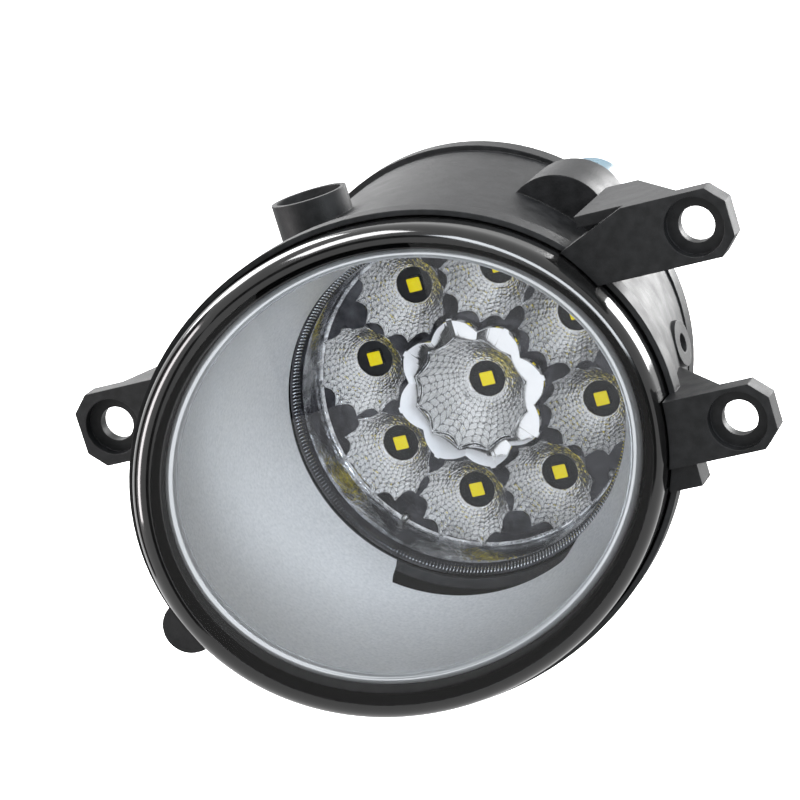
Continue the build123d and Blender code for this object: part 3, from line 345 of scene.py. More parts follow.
def cutChrome():
    # slightly rippled chrome with painted shade: a darker line along each facet's border, where two
    # facets meet in a crease
    material, tree, shader = newFinish("cutChrome", Metallic=0.85)
    where = objectPattern(tree)
    seam = addNode(tree, "ShaderNodeAttribute", attribute_name="seam")
    # painted shade: the colour darkens towards 0 on a facet's border
    ramp(tree, seam.outputs["Fac"],
         [(0.0, (0.35, 0.35, 0.36)), (0.1, (0.8, 0.81, 0.82)), (0.22, (1.0, 1.0, 1.0))],
         shader.inputs["Base Color"])
    spread(tree, noiseOf(tree, where, 1.6), 0.02, 0.07, shader.inputs["Roughness"])
    bump(tree, shader, noiseOf(tree, where, 0.7, 1.0), 0.16)
    return material


finishes["cutChrome"] = cutChrome()
finishes["knob"] = blueNylon()
finishes["phosphor"] = phosphor()

cadFinish = {
    "housing": "housing", "rear_cover": "housing", "lens_sealant": "sealant",
    "vent_membrane": "membrane", "pivot_pins": "steel", "aim_screw_seal": "rubber",
    "rear_gasket": "rubber", "driver_board": "driver", "driver_choke": "ferrite",
    "driver_capacitor": "can", "driver_chip": "epoxy", "connector_shell": "connector",
    "connector_seal": "rubber", "connector_terminals": "tin", "led_board": "board",
    "thermal_pad": "pad", "heat_sink": "sink", "module_carrier": "carrier",
    "pivot_bushes": "acetal", "aim_nut": "acetal", "aim_screw": "steel", "aim_knob": "knob",
}
for node, finish in cadFinish.items():
    nodes[node].data.materials.clear()
    nodes[node].data.materials.append(finishes[finish])
print("materials made:", len(finishes))


# lens

lensGap = {"side": 0.04, "rear": 0.06}     # clear of the sealant's own faces
lens = {
    "radius": lensRadius - lensGap["side"],
    "skirtEnd": lamp["skirtEnd"] - lensGap["rear"],
    "domeRadius": 200.0,
    "domeRise": 12.0,
    "shoulder": 4.65,      # radius of the arc between the dome and the side wall
    "wall": 2.6,
    "segments": 192,
    "domeRings": 14,
    "shoulderRings": 10,
}
rimAngle = math.atan(lamp["rimSlope"])


def domeDepth(x, z, inset):
    # depth of a sphere whose middle lies behind the rim, on the rim's own normal
    back = lens["domeRadius"] - lens["domeRise"]
    centreX = -back * math.sin(rimAngle)
    centreDepth = back * math.cos(rimAngle)
    radius = lens["domeRadius"] - inset
    return centreDepth - math.sqrt(radius ** 2 - (x - centreX) ** 2 - z ** 2)


def lensSkin(inset):
    # rings from the pole to the rear edge; an arc joins the dome to the side wall
    outer = lens["radius"] - inset
    bendR = lens["shoulder"] - inset / 2
    spokes = []
    for a in turn(lens["segments"]):
        x, z = math.cos(a), math.sin(a)
        # the dome's slope near the start of the arc, taken over one millimetre
        near, far = outer - bendR - 0.5, outer - bendR + 0.5
        slope = math.atan(domeDepth(far * x, far * z, inset) - domeDepth(near * x, near * z, inset))
        flat = outer - bendR * (1 - math.sin(slope))
        middle = domeDepth(flat * x, flat * z, inset) + bendR * math.cos(slope)
        spoke = []
        for i in range(1, lens["domeRings"] + 1):
            r = flat * i / lens["domeRings"]
            spoke.append(place(r * x, domeDepth(r * x, r * z, inset), r * z))
        for i in range(1, lens["shoulderRings"] + 1):
            bend = slope + (math.pi / 2 - slope) * i / lens["shoulderRings"]
            r = outer - bendR + bendR * math.sin(bend)
            spoke.append(place(r * x, middle - bendR * math.cos(bend), r * z))
        spoke.append(place(outer * x, lens["skirtEnd"] + lamp["rimSlope"] * outer * x, outer * z))
        spokes.append(spoke)
    return [[place(0, domeDepth(0, 0, inset), 0)]] + [list(ring) for ring in zip(*spokes)]


def makeLens():
    shape = bmesh.new()
    inner = lensSkin(lens["wall"])
    ringSolid(shape, lensSkin(0.0) + inner[::-1], wrap=False)
    piece = makePiece("lensCover", shape, finishes["lens"], 50)
    # both skins' shoulders and side walls are glossy black
    piece.data.materials.append(finishes["blackPrint"])
    clearFaces = lens["segments"] * lens["domeRings"]
    for polygon in piece.data.polygons:
        if clearFaces <= polygon.index < len(piece.data.polygons) - clearFaces:
            polygon.material_index = 1
    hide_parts("lens")
    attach(piece, lamp["mainBody"])


makeLens()
print("lens made")


# bezel

bezel = {
    "radius": 44.4,
    "lipWidth": 2.3,
    "lipFront": 0.3,       # lip's front edge, behind the plane of the rim
    "lipTurns": 1.15,      # half turns that the lip's bead goes through
    "wall": 1.4,
    "endRadius": 37.0,
    "endDepth": 38.3,
    "belly": 1.6,          # how far the bowl bulges between its two ends
    "segments": 360,
    "bowlRings": 14,
    "lipRings": 10,
    "notchStart": -127.0,  # degrees about the lamp axis
    "notchEnd": -59.0,
    "notchDepth": 30.6,
    "notchFall": 4.2,      # how much deeper the notch ends towards the right
    "notchPower": 1.5,
    # degrees over which the notch's ends ease in and out
    "notchEaseBefore": 1.0, "notchEaseAfter": 2.0, "notchEaseOut": 9.0,
}


def bowlEnd(angle):
    # depth of the bowl's rear edge, with the notch where the module swings
    degrees = math.degrees(math.atan2(math.sin(angle), math.cos(angle)))
    start, end = bezel["notchStart"], bezel["notchEnd"]
    cut = smoothStep(start - bezel["notchEaseBefore"], start + bezel["notchEaseAfter"], degrees)
    cut *= 1 - smoothStep(end - bezel["notchEaseOut"], end, degrees)
    share = (degrees - start) / (end - start)
    share = max(0.0, min(1.0, share))
    notch = bezel["notchDepth"] + bezel["notchFall"] * share ** bezel["notchPower"]
    return bezel["endDepth"] + (notch - bezel["endDepth"]) * cut


def bowlPoint(angle, share, wall):
    # share runs from 0 at the lip to 1 at the bowl's rear edge
    frontR = bezel["radius"] - bezel["lipWidth"] + wall
    startX, startZ = frontR * math.cos(angle), frontR * math.sin(angle)
    startDepth = lamp["rimSlope"] * startX + bezel["lipFront"] + bezel["lipWidth"] / 2
    endR = bezel["endRadius"] + wall
    endX, endZ = moduleX + endR * math.cos(angle), moduleZ + endR * math.sin(angle)
    cut = (bowlEnd(angle) - startDepth) / (bezel["endDepth"] - startDepth)
    t = share * cut
    bulge = bezel["belly"] * math.sin(math.pi * t)
    return place(startX + (endX - startX) * t + bulge * math.cos(angle),
                 startDepth + (bezel["endDepth"] - startDepth) * t,
                 startZ + (endZ - startZ) * t + bulge * math.sin(angle))


def makeBezel():
    angles = turn(bezel["segments"])
    steps = [i / bezel["bowlRings"] for i in range(bezel["bowlRings"] + 1)]
    inner = [[bowlPoint(a, t, 0.0) for a in angles] for t in steps]
    outer = [[bowlPoint(a, t, bezel["wall"]) for a in angles] for t in reversed(steps[2:])]
    roll = bezel["lipWidth"] / 2
    lip = []
    for i in range(1, bezel["lipRings"] + 1):
        bend = math.pi * (bezel["lipTurns"] * i / bezel["lipRings"])
        r = bezel["radius"] - roll + roll * -math.cos(bend)
        ahead = roll * math.sin(bend)
        lip.append([place(r * math.cos(a),
                          lamp["rimSlope"] * r * math.cos(a) + bezel["lipFront"] + roll - ahead,
                          r * math.sin(a)) for a in angles])
    shape = bmesh.new()
    ringSolid(shape, lip[::-1] + inner + outer)
    piece = makePiece("bezelBowl", shape, finishes["silver"], 50)
    piece.data.materials.append(finishes["lip"])
    lipFaces = len(lip) * bezel["segments"]
    for polygon in piece.data.polygons:
        if polygon.index < lipFaces:
            polygon.material_index = 1
    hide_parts("bezel")
    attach(piece, lamp["mainBody"])


makeBezel()
print("bezel made")


# reflector

reflector = {
    "centreMouth": 12.2, "centreDepth": 50.0,
    "ringMouth": 9.9, "ringDepth": 52.4,
    "floorRadius": 4.0, "floorDepth": 62.4,
    "lobes": 12,
    "lobeDepth": 1.0,      # how far the mouth's outline dips between its points
    "lobePower": 0.85,
    "climbPower": 1.25,    # facets grow towards the mouth
    "columns": 36,         # facets around a cup
    "rows": 9,             # facets from the LED to the mouth
    "cut": 3,              # mesh squares across one facet
    "pillow": 0.2,         # how far a facet's middle swells
    "uneven": 0.13,        # how far a facet's corners stray
    "calm": 0.4,           # share of both that is left at the LED
    "lean": 0.7,           # share of both by which a point goes inwards, and also forwards
    "rimRound": 0.16,
    "cupSheet": 0.3, "cupFoot": 1.0, "cupSunk": 0.4,
    "seed": 7,
    "wellDepth": 53.9, "wellSheet": 0.5,    # shallow enough to clear the aim screw's recess
    "plateauInner": 12.65, "plateauOuter": 13.6, "plateauReach": 3.4, "plateauDepth": 50.2,
    "plateauGap": 1.7, "plateauSteps": 720,
    "plateauSoft": 0.22, "plateauStride": 0.05,
    "wallRadius": 35.5, "wallFoot": 1.0, "wallSegments": 288,
    "footRings": 6, "lipBands": 5,
    "wellSegments": 192, "wellGap": 0.1, "wellLeast": 0.02,
}
ledCentres = []
for number in range(1, 10):
    low, high = lampSize(f"led_{number}")
    ledCentres.append(((low.x + high.x) / 2, (low.z + high.z) / 2))
ringRadius = math.hypot(ledCentres[1][0] - moduleX, ledCentres[1][1] - moduleZ)


def cupOutline(angle, mouth):
    # scalloped outline with its points outwards
    dip = abs(math.sin(reflector["lobes"] * angle / 2)) ** reflector["lobePower"]
    return mouth - reflector["lobeDepth"] * dip


def ringPoints(centreX, centreZ, ring):
    # a ring of (radius, depth, angle) about a line through (centreX, centreZ)
    return [place(centreX + r * math.cos(a), depth, centreZ + r * math.sin(a))
            for r, depth, a in ring]


def makeCup(shape, seams, centreX, centreZ, mouth, mouthDepth, facing, chance):
    # the list gets one value for each point: 0 on a facet's border past the first row, else 1; the
    # 0s mark where painted shade darkens the creases between facets
    floorR, floorDepth = reflector["floorRadius"], reflector["floorDepth"]
    calm, lean = reflector["calm"], reflector["lean"]
    columns, rows, cut = reflector["columns"], reflector["rows"], reflector["cut"]
    tilt = [[chance.uniform(-1, 1) for _ in range(columns)] for _ in range(rows + 1)]
    around = turn(columns * cut)
    rings = []
    for i in range(rows * cut + 1):
        v = i / (rows * cut)
        climb = v ** reflector["climbPower"]
        row = min(rows - 1, i // cut)
        fv = i / cut - row
        ring = []
        for k, angle in enumerate(around):
            column, fu = k // cut, (k % cut) / cut
            nextColumn = (column + 1) % columns
            r = floorR + (cupOutline(angle, mouth) - floorR) * climb
            # the wall is a paraboloid from the floor to the mouth
            depth = floorDepth - ((floorDepth - mouthDepth) * (r * r - floorR ** 2)
                                  / (mouth ** 2 - floorR ** 2))
            swell = math.sin(math.pi * fu) * math.sin(math.pi * min(1.0, fv))
            low = tilt[row][column] * (1 - fu) + tilt[row][nextColumn] * fu
            high = tilt[row + 1][column] * (1 - fu) + tilt[row + 1][nextColumn] * fu
            rough = (low * (1 - fv) + high * fv) * (1 if 0 < v < 1 else 0)
            off = reflector["pillow"] * swell + reflector["uneven"] * rough
            off *= calm + (1 - calm) * climb
            ring.append((r - off * lean, depth - off * lean, angle + facing))
            border = k % cut == 0 or i % cut == 0
            seams.append(0.0 if border and i > cut else 1.0)
        rings.append(ring)
    # over the rim's bead, down the back and under the floor
    top = rings[-1]
    bead = reflector["rimRound"]
    under = floorDepth + reflector["cupSheet"]
    back = [
        [(r + bead * 0.4, d - bead, a) for r, d, a in top],
        [(r + bead * 1.4, d - bead, a) for r, d, a in top],
        [(r + bead * 2.0, d, a) for r, d, a in top],
        [(r + bead * 2.0, reflector["wellDepth"] + reflector["cupSunk"], a) for r, d, a in top],
        [(floorR + reflector["cupFoot"], under, a) for r, d, a in top],
        [(floorR, under, a) for r, d, a in top],
    ]
    seams.extend([1.0] * (len(back) * len(around)))
    ringSolid(shape, [ringPoints(centreX, centreZ, ring) for ring in rings + back])


def makeWell(shape, number):
    # floor around one ring cup, out to its neighbours, the plateau and the outer wall
    centreX, centreZ = ledCentres[number]
    facing = math.atan2(centreZ - moduleZ, centreX - moduleX)
    half = math.pi / (len(ledCentres) - 1)
    side = ringRadius * math.sin(half)
    outerR = reflector["wallRadius"] - reflector["wallFoot"]
    innerR = reflector["centreMouth"] + reflector["wellGap"]
    inside, outside = [], []
    for angle in turn(reflector["wellSegments"]):
        near = cupOutline(angle, reflector["ringMouth"]) + reflector["rimRound"]
        reach = []
        # out to the lines halfway to the two neighbours
        for edge in (math.pi / 2 + half, -math.pi / 2 - half):
            along = math.cos(angle - edge)
            if along > 1e-6:
                reach.append(side / along)
        # out to the outer wall, and back to the middle cup
        step = ringRadius * math.cos(angle)
        reach.append(-step + math.sqrt(step ** 2 + outerR ** 2 - ringRadius ** 2))
        inner = step ** 2 + innerR ** 2 - ringRadius ** 2
        if inner > 0 and step < 0:
            reach.append(-step - math.sqrt(inner))
        far = max(min(reach), near + reflector["wellLeast"])
        inside.append((near, angle + facing))
        outside.append((far, angle + facing))
    depth = reflector["wellDepth"]
    under = depth + reflector["wellSheet"]
    ringSolid(shape, [ringPoints(centreX, centreZ, [(r, d, a) for r, a in ring]) for ring, d in (
        (inside, depth), (outside, depth), (outside, under), (inside, under))])


def plateauEdge(angle):
    # goes outwards until it nears the scalloped mouth of a ring cup
    r = reflector["plateauOuter"]
    while r < reflector["plateauOuter"] + reflector["plateauReach"]:
        x, z = moduleX + r * math.cos(angle), moduleZ + r * math.sin(angle)
        for cx, cz in ledCentres[1:]:
            local = math.atan2(z - cz, x - cx) - math.atan2(cz - moduleZ, cx - moduleX)
            edge = cupOutline(local, reflector["ringMouth"]) + reflector["plateauGap"]
            if math.hypot(x - cx, z - cz) < edge:
                return r
        r += reflector["plateauStride"]
    return r


def makePlateau(shape):
    # polished land around the middle cup, reaching out between the ring cups
    top, bottom = reflector["plateauDepth"], reflector["wellDepth"] + reflector["wellSheet"]
    inner, outer = [], []
    for angle in turn(reflector["plateauSteps"]):
        inner.append((cupOutline(angle, reflector["plateauInner"]), angle))
        outer.append((plateauEdge(angle), angle))
    soft = reflector["plateauSoft"]
    rings = [
        [(r, bottom, a) for r, a in inner],
        [(r, top + soft, a) for r, a in inner],
        [(r + soft, top, a) for r, a in inner],
        [(r - soft * 1.6, top, a) for r, a in outer],
        [(r - soft * 0.5, top + soft * 0.4, a) for r, a in outer],
        [(r, top + soft * 1.6, a) for r, a in outer],
        [(r, bottom, a) for r, a in outer],
    ]
    ringSolid(shape, [ringPoints(moduleX, moduleZ, ring) for ring in rings])


def makeOuterWall(shape):
    # lip at the reflector's front edge, then the wall and its rounded foot
    wall, foot, well = reflector["wallRadius"], reflector["wallFoot"], reflector["wellDepth"]
    front, outer = reflectorLow.y, (reflectorHigh.x - reflectorLow.x) / 2
    profile = [(outer, front + 0.7), (outer - 0.2, front + 0.2), (outer - 0.6, front),
               (outer - 1.0, front + 0.25), (wall + 0.7, front + 2.4),
               (wall + 0.25, front + 3.2), (wall, front + 4.5)]
    for i in range(reflector["footRings"] + 1):
        bend = math.pi / 2 * i / reflector["footRings"]
        profile.append((wall - foot * (1 - math.cos(bend)), well - foot + foot * math.sin(bend)))
    under = well + reflector["wellSheet"]
    profile += [(wall - foot, under), (wall + 0.6, under), (outer - 1.4, well - 3.0),
                (outer, well - 3.0)]
    angles = turn(reflector["wallSegments"])
    ringSolid(shape, [ringPoints(moduleX, moduleZ, [(r, d, a) for a in angles])
                      for r, d in profile])


def makeReflector():
    chance = random.Random(reflector["seed"])
    seams = []
    cups, wells, land, wall = bmesh.new(), bmesh.new(), bmesh.new(), bmesh.new()
    for number, (x, z) in enumerate(ledCentres):
        if number == 0:
            makeCup(cups, seams, x, z, reflector["centreMouth"], reflector["centreDepth"],
                    0.0, chance)
        else:
            facing = math.atan2(z - moduleZ, x - moduleX)
            makeCup(cups, seams, x, z, reflector["ringMouth"], reflector["ringDepth"],
                    facing, chance)
            makeWell(wells, number)
    makeOuterWall(wall)
    makePlateau(land)
    piece = makePiece("reflectorCups", cups, finishes["cutChrome"], 30)
    # painted shade along the facets' borders, which the cups' material darkens
    seam = piece.data.attributes.new("seam", "FLOAT", "POINT")
    seam.data.foreach_set("value", seams)
    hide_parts("reflector")
    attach(piece, lamp["moduleBody"])
    # the wells' dark finish is painted dark reflection
    for name, shape, finish in (
            ("reflectorWells", wells, "well"), ("reflectorPlateau", land, "plateau"),
            ("reflectorWall", wall, "wall")):
        part = makePiece(name, shape, finishes[finish], 34)
        if finish == "wall":
            # painted dark reflection: a dark band under the flutes
            part.data.materials.append(finishes["well"])
            lipFaces = reflector["lipBands"] * reflector["wallSegments"]
            for polygon in part.data.polygons:
                polygon.material_index = int(polygon.index < lipFaces)
        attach(part, lamp["moduleBody"])


makeReflector()
print("reflector made")


# geometry nodes

def newTree(name, sockets):
    tree = bpy.data.node_groups.new(name, "GeometryNodeTree")
    tree.interface.new_socket("Geometry", in_out="INPUT", socket_type="NodeSocketGeometry")
    for socket, kind in sockets:
        tree.interface.new_socket(socket, in_out="INPUT", socket_type=kind)
    tree.interface.new_socket("Geometry", in_out="OUTPUT", socket_type="NodeSocketGeometry")
    return tree, tree.nodes.new("NodeGroupInput"), tree.nodes.new("NodeGroupOutput")


def repeatTree():
    # copies an item onto every point, turned by the point's own facing attribute and then
    # by up to Wobble radians either way about the item's own Z
    sockets = [("Item", "NodeSocketObject"), ("Size", "NodeSocketFloat"),
               ("Finish", "NodeSocketMaterial"), ("Wobble", "NodeSocketFloat"),
               ("Seed", "NodeSocketInt")]
    tree, given, result = newTree("repeatOnPoints", sockets)
    item = tree.nodes.new("GeometryNodeObjectInfo")
    facing = tree.nodes.new("GeometryNodeInputNamedAttribute")
    facing.data_type = "FLOAT_VECTOR"
    facing.inputs["Name"].default_value = "facing"
    chance = tree.nodes.new("FunctionNodeRandomValue")
    wobble = tree.nodes.new("ShaderNodeCombineXYZ")
    below = tree.nodes.new("ShaderNodeMath")
    below.operation = "MULTIPLY"
    below.inputs[1].default_value = -1.0
    turnBy = tree.nodes.new("FunctionNodeEulerToRotation")
    spin = tree.nodes.new("FunctionNodeEulerToRotation")
    both = tree.nodes.new("FunctionNodeRotateRotation")
    both.rotation_space = "LOCAL"
    copies = tree.nodes.new("GeometryNodeInstanceOnPoints")
    real = tree.nodes.new("GeometryNodeRealizeInstances")
    paint = tree.nodes.new("GeometryNodeSetMaterial")
    link = tree.links.new
    link(given.outputs["Item"], item.inputs["Object"])
    link(given.outputs["Wobble"], below.inputs[0])
    link(below.outputs[0], chance.inputs[2])
    link(given.outputs["Wobble"], chance.inputs[3])
    link(given.outputs["Seed"], chance.inputs["Seed"])
    link(chance.outputs[1], wobble.inputs["Z"])
    link(facing.outputs["Attribute"], turnBy.inputs["Euler"])
    link(wobble.outputs["Vector"], spin.inputs["Euler"])
    link(turnBy.outputs["Rotation"], both.inputs["Rotation"])
    link(spin.outputs["Rotation"], both.inputs["Rotate By"])
    link(given.outputs["Geometry"], copies.inputs["Points"])
    link(item.outputs["Geometry"], copies.inputs["Instance"])
    link(both.outputs["Rotation"], copies.inputs["Rotation"])
    link(given.outputs["Size"], copies.inputs["Scale"])
    link(copies.outputs["Instances"], real.inputs["Geometry"])
    link(real.outputs["Geometry"], paint.inputs["Geometry"])
    link(given.outputs["Finish"], paint.inputs["Material"])
    link(paint.outputs["Geometry"], result.inputs["Geometry"])
    return tree


repeatOnPoints = repeatTree()


def repeatItem(name, item, spots, finish, size=1.0, wobble=0.0, seed=1, sharp=40):
    # spots are (point, euler) pairs
    mesh = bpy.data.meshes.new(name)
    mesh.from_pydata([spot for spot, _ in spots], [], [])
    facing = mesh.attributes.new("facing", "FLOAT_VECTOR", "POINT")
    for value, (_, euler) in zip(facing.data, spots):
        value.vector = euler
    piece = bpy.data.objects.new(name, mesh)
    bpy.context.scene.collection.objects.link(piece)
    modifier = piece.modifiers.new("repeat", "NODES")
    modifier.node_group = repeatOnPoints
    values = {"Item": item, "Size": size, "Finish": finish, "Wobble": wobble, "Seed": seed}
    for socket in repeatOnPoints.interface.items_tree:
        if socket.in_out == "INPUT" and socket.name in values:
            modifier[socket.identifier] = values[socket.name]
    bpy.context.view_layer.update()
    graph = bpy.context.evaluated_depsgraph_get()
    made = bpy.data.meshes.new_from_object(piece.evaluated_get(graph), depsgraph=graph)
    piece.modifiers.clear()
    piece.data = made
    made.name = name
    made.shade_smooth()
    made.set_sharp_from_angle(angle=math.radians(sharp))
    return piece


patterns = []


def patternItem(name, rings):
    # a shape that the tree copies; it is removed at the end
    shape = bmesh.new()
    ringSolid(shape, rings, wrap=False)
    mesh = bpy.data.meshes.new(name)
    shape.to_mesh(mesh)
    shape.free()
    item = bpy.data.objects.new(name, mesh)
    bpy.context.scene.collection.objects.link(item)
    patterns.append(item)
    return item


# these turn an item's +Z towards the front and the rear of the lamp
forwardEuler = (math.pi / 2, 0.0, 0.0)
rearEuler = (-math.pi / 2, 0.0, 0.0)

rimTeeth = {
    "count": 300,
    "length": 2.3,
    "width": 0.46,
    "height": 0.7,
    "outerRadius": 37.5,
    "outerDepth": 0.45,
    "innerRadius": 36.25,
    "innerDepth": 2.35,
    # (share of the length, share of the section) along a flute
    "taper": ((-0.5, 0.35), (-0.42, 1.0), (0.42, 1.0), (0.5, 0.35)),
    # (share of half the width, share of the height) around it
    "section": ((-1, -0.6), (-0.75, 0.55), (0, 1.0), (0.75, 0.55), (1, -0.6)),
}


def makeRimTeeth():
    # small flutes across the reflector's front edge
    half = rimTeeth["width"] / 2 * mm
    rise = rimTeeth["height"] * mm
    rings = []
    for share, swell in rimTeeth["taper"]:
        along = share * rimTeeth["length"] * mm
        rings.append([Vector((half * swell * x, along, rise * swell * z))
                      for x, z in rimTeeth["section"]])
    front, rear = [[sum(ring, Vector()) / len(ring)] for ring in (rings[0], rings[-1])]
    tooth = patternItem("toothPattern", [front] + rings + [rear])
    spots = []
    r = (rimTeeth["outerRadius"] + rimTeeth["innerRadius"]) / 2
    depth = reflectorLow.y + (rimTeeth["outerDepth"] + rimTeeth["innerDepth"]) / 2
    for angle in turn(rimTeeth["count"]):
        outward = Vector((math.cos(angle), 0, math.sin(angle)))
        along = (outward * (rimTeeth["outerRadius"] - rimTeeth["innerRadius"])
                 + Vector((0, rimTeeth["outerDepth"] - rimTeeth["innerDepth"], 0))).normalized()
        across = Vector((-math.sin(angle), 0, math.cos(angle)))
        up = across.cross(along).normalized()
        if up.dot(outward) > 0:
            up, across = -up, -across
        turned = Matrix((across, along, up)).transposed()
        spots.append((place(moduleX, depth, moduleZ) + outward * r * mm, tuple(turned.to_euler())))
    piece = repeatItem("reflectorFlutes", tooth, spots, finishes["chrome"], sharp=60)
    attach(piece, lamp["moduleBody"])


makeRimTeeth()
print("reflector flutes made")


# LEDs

led = {
    "body": 3.5,
    "bodyHeight": 0.55,
    "bodyBevel": 0.1,
    "window": 3.0,
    "windowHeight": 0.16,
    "windowSunk": 0.05,
    "windowEdge": 0.08,    # height where the window's bevel begins
    "windowBevel": 0.15,
    "corner": 0.25,
    "cornerSteps": 3,
}


def squareRings(size, corner, levels):
    # rounded squares about +Z; levels are (height, inset) pairs
    rings = [[Vector((0, 0, levels[0][0] * mm))]]
    for height, inset in levels:
        middle = size / 2 - inset - corner
        ring = []
        for quarter in range(4):
            cx = middle * (1 if quarter in (0, 3) else -1)
            cy = middle * (1 if quarter in (0, 1) else -1)
            for step in range(led["cornerSteps"] + 1):
                a = math.pi / 2 * (quarter + step / led["cornerSteps"])
                x, y = cx + corner * math.cos(a), cy + corner * math.sin(a)
                ring.append(Vector((x * mm, y * mm, height * mm)))
        rings.append(ring)
    rings.append([Vector((0, 0, levels[-1][0] * mm))])
    return rings


def makeLeds():
    boardFront = lampSize("led_board")[0].y
    spots = [(place(x, boardFront, z), forwardEuler) for x, z in ledCentres]
    rise, bevel = led["bodyHeight"], led["bodyBevel"]
    package = patternItem("ledPattern", squareRings(
        led["body"], led["corner"], [(0, 0), (rise - bevel, 0), (rise, bevel)]))
    window = patternItem("windowPattern", squareRings(
        led["window"], led["corner"],
        [(rise - led["windowSunk"], 0), (rise + led["windowEdge"], 0),
         (rise + led["windowHeight"], led["windowBevel"])]))
    names = [f"led_{number}" for number in range(1, 10)]
    bodies = repeatItem("ledPackages", package, spots, finishes["board"])
    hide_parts(*names)
    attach(bodies, lamp["moduleBody"])
    windows = repeatItem("ledWindows", window, spots, finishes["phosphor"])
    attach(windows, lamp["moduleBody"])


makeLeds()
print("LEDs made")


# screws

screw = {
    "segments": 36,
    "headHeight": 0.62,    # share of the head's radius
    "shank": 0.5,          # share of the head's radius
    "recess": 0.46,        # share of the head's radius
    "recessDepth": 0.55,   # share of the head's height
    "recessFoot": 0.9,     # recess's floor, as a share of its mouth
    "lobes": 6,
    "lobe": 0.13,          # how far a lobe stands out, as a share of the recess's radius
    "crown": 0.72,         # flat top of the head, as a share of its radius
    "brim": 0.45,          # height of the head's upright side, as a share of its height
    "headRings": 4,
    # shares of the shank's radius: the thread's pitch and root, and the point
    "pitch": 0.7, "root": 0.84, "neck": 0.8, "taper": 0.5, "tip": 0.3,
    # where a thread's crest and root lie along one pitch
    "crestAt": 0.1, "rootAt": 0.55,
    "clearance": 0.99,     # head's radius, as a share of the CAD head's
}


def islands(node):
    # the separate solids of a CAD node, as (low, high) corners
    shape = bmesh.new()
    shape.from_mesh(nodes[node].data)
    bmesh.ops.remove_doubles(shape, verts=shape.verts, dist=1e-6)
    left, corners = set(shape.verts), []
    while left:
        stack, found = [left.pop()], []
        while stack:
            vertex = stack.pop()
            found.append(vertex.co.copy())
            for edge in vertex.link_edges:
                other = edge.other_vert(vertex)
                if other in left:
                    left.remove(other)
                    stack.append(other)
        corners.append((Vector([min(p[i] for p in found) for i in range(3)]),
                        Vector([max(p[i] for p in found) for i in range(3)])))
    shape.free()
    return sorted(corners, key=lambda pair: tuple(pair[0]))


def screwRings(headR, headH, shankR, length):
    # pan head with a six-lobed recess, above a threaded shank; the head's seat is at 0
    angles = turn(screw["segments"])
    recessR, recessZ = headR * screw["recess"], headH * (1 - screw["recessDepth"])

    def lobed(radius, height):
        reach = [radius * (1 + screw["lobe"] * math.cos(screw["lobes"] * a)) for a in angles]
        return [Vector((r * math.cos(a), r * math.sin(a), height)) for r, a in zip(reach, angles)]

    def plain(radius, height):
        return [Vector((radius * math.cos(a), radius * math.sin(a), height)) for a in angles]

    crown, brim = screw["crown"], screw["brim"]
    rings = [[Vector((0, 0, recessZ))], lobed(recessR * screw["recessFoot"], recessZ),
             lobed(recessR, headH)]
    for i in range(screw["headRings"] + 1):
        bend = math.pi / 2 * i / screw["headRings"]
        rings.append(plain(headR * (crown + (1 - crown) * math.sin(bend)),
                           headH * (brim + (1 - brim) * math.cos(bend))))
    rings += [plain(headR, 0), plain(shankR, 0)]
    pitch = shankR * screw["pitch"]
    turns = int((length - shankR) / pitch)
    for i in range(turns):
        rings.append(plain(shankR, -(i + screw["crestAt"]) * pitch))
        rings.append(plain(shankR * screw["root"], -(i + screw["rootAt"]) * pitch))
    rings += [plain(shankR * screw["neck"], -length + shankR * screw["taper"]),
              plain(shankR * screw["tip"], -length), [Vector((0, 0, -length))]]
    return rings


def makeScrews(node, body, rearFacing):
    # one piece for a set of screws, each with its seat where its CAD solid has it
    solids = islands(node)
    low, high = solids[0]
    headR = (high.x - low.x) / 2
    length = high.y - low.y
    headH = headR * screw["headHeight"]
    shape = patternItem(node + "Pattern", screwRings(
        headR * screw["clearance"], headH, headR * screw["shank"], length - headH))
    spots = []
    for low, high in solids:
        seat = high.y - headH if rearFacing else low.y + headH
        spots.append((Vector(((low.x + high.x) / 2, seat, (low.z + high.z) / 2)),
                      rearEuler if rearFacing else forwardEuler))
    words = node.split("_")
    name = words[0] + "".join(word.capitalize() for word in words[1:])
    piece = repeatItem(name, shape, spots, finishes["steel"], wobble=math.pi, seed=len(node),
                       sharp=35)
    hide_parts(node)
    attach(piece, body)


for node, body, rearFacing in (
        ("bezel_screws", "mainBody", False), ("rear_cover_screws", "mainBody", True),
        ("connector_screws", "mainBody", True), ("heat_sink_screws", "moduleBody", True),
        ("reflector_screws", "moduleBody", True)):
    makeScrews(node, lamp[body], rearFacing)
print("screws made")

for item in patterns:
    bpy.data.objects.remove(item)


# studio

studio = {
    "aim": 20,             # millimetres behind the lens rim, where lights and cards face
    "floorGap": 0.06,
    "floorSize": 2.4,
    "backRadius": 0.5,
    "bendSteps": 12,
    "roomLight": 1.0,
    "white": (0.93, 0.93, 0.93, 1.0),
    "sweepGlow": 0.75,
}
# name, place from the lamp's middle, width, height, power, colour
softBoxes = [
    ("leftBox", (-0.75, -0.3, 0.35), 0.22, 0.9, 8, (1.0, 0.95, 0.96)),
    ("rightBox", (0.75, -0.35, 0.35), 0.16, 0.9, 7, (0.9, 0.95, 1.0)),
    ("keyBox", (-0.45, 0.45, 0.7), 0.55, 0.5, 12, (1, 1, 1)),
    ("topBox", (0.15, -0.15, 0.95), 0.5, 0.3, 9, (1, 1, 1)),
    ("rearRightBox", (0.5, 0.95, 0.12), 0.6, 0.5, 13, (1, 1, 1)),
]
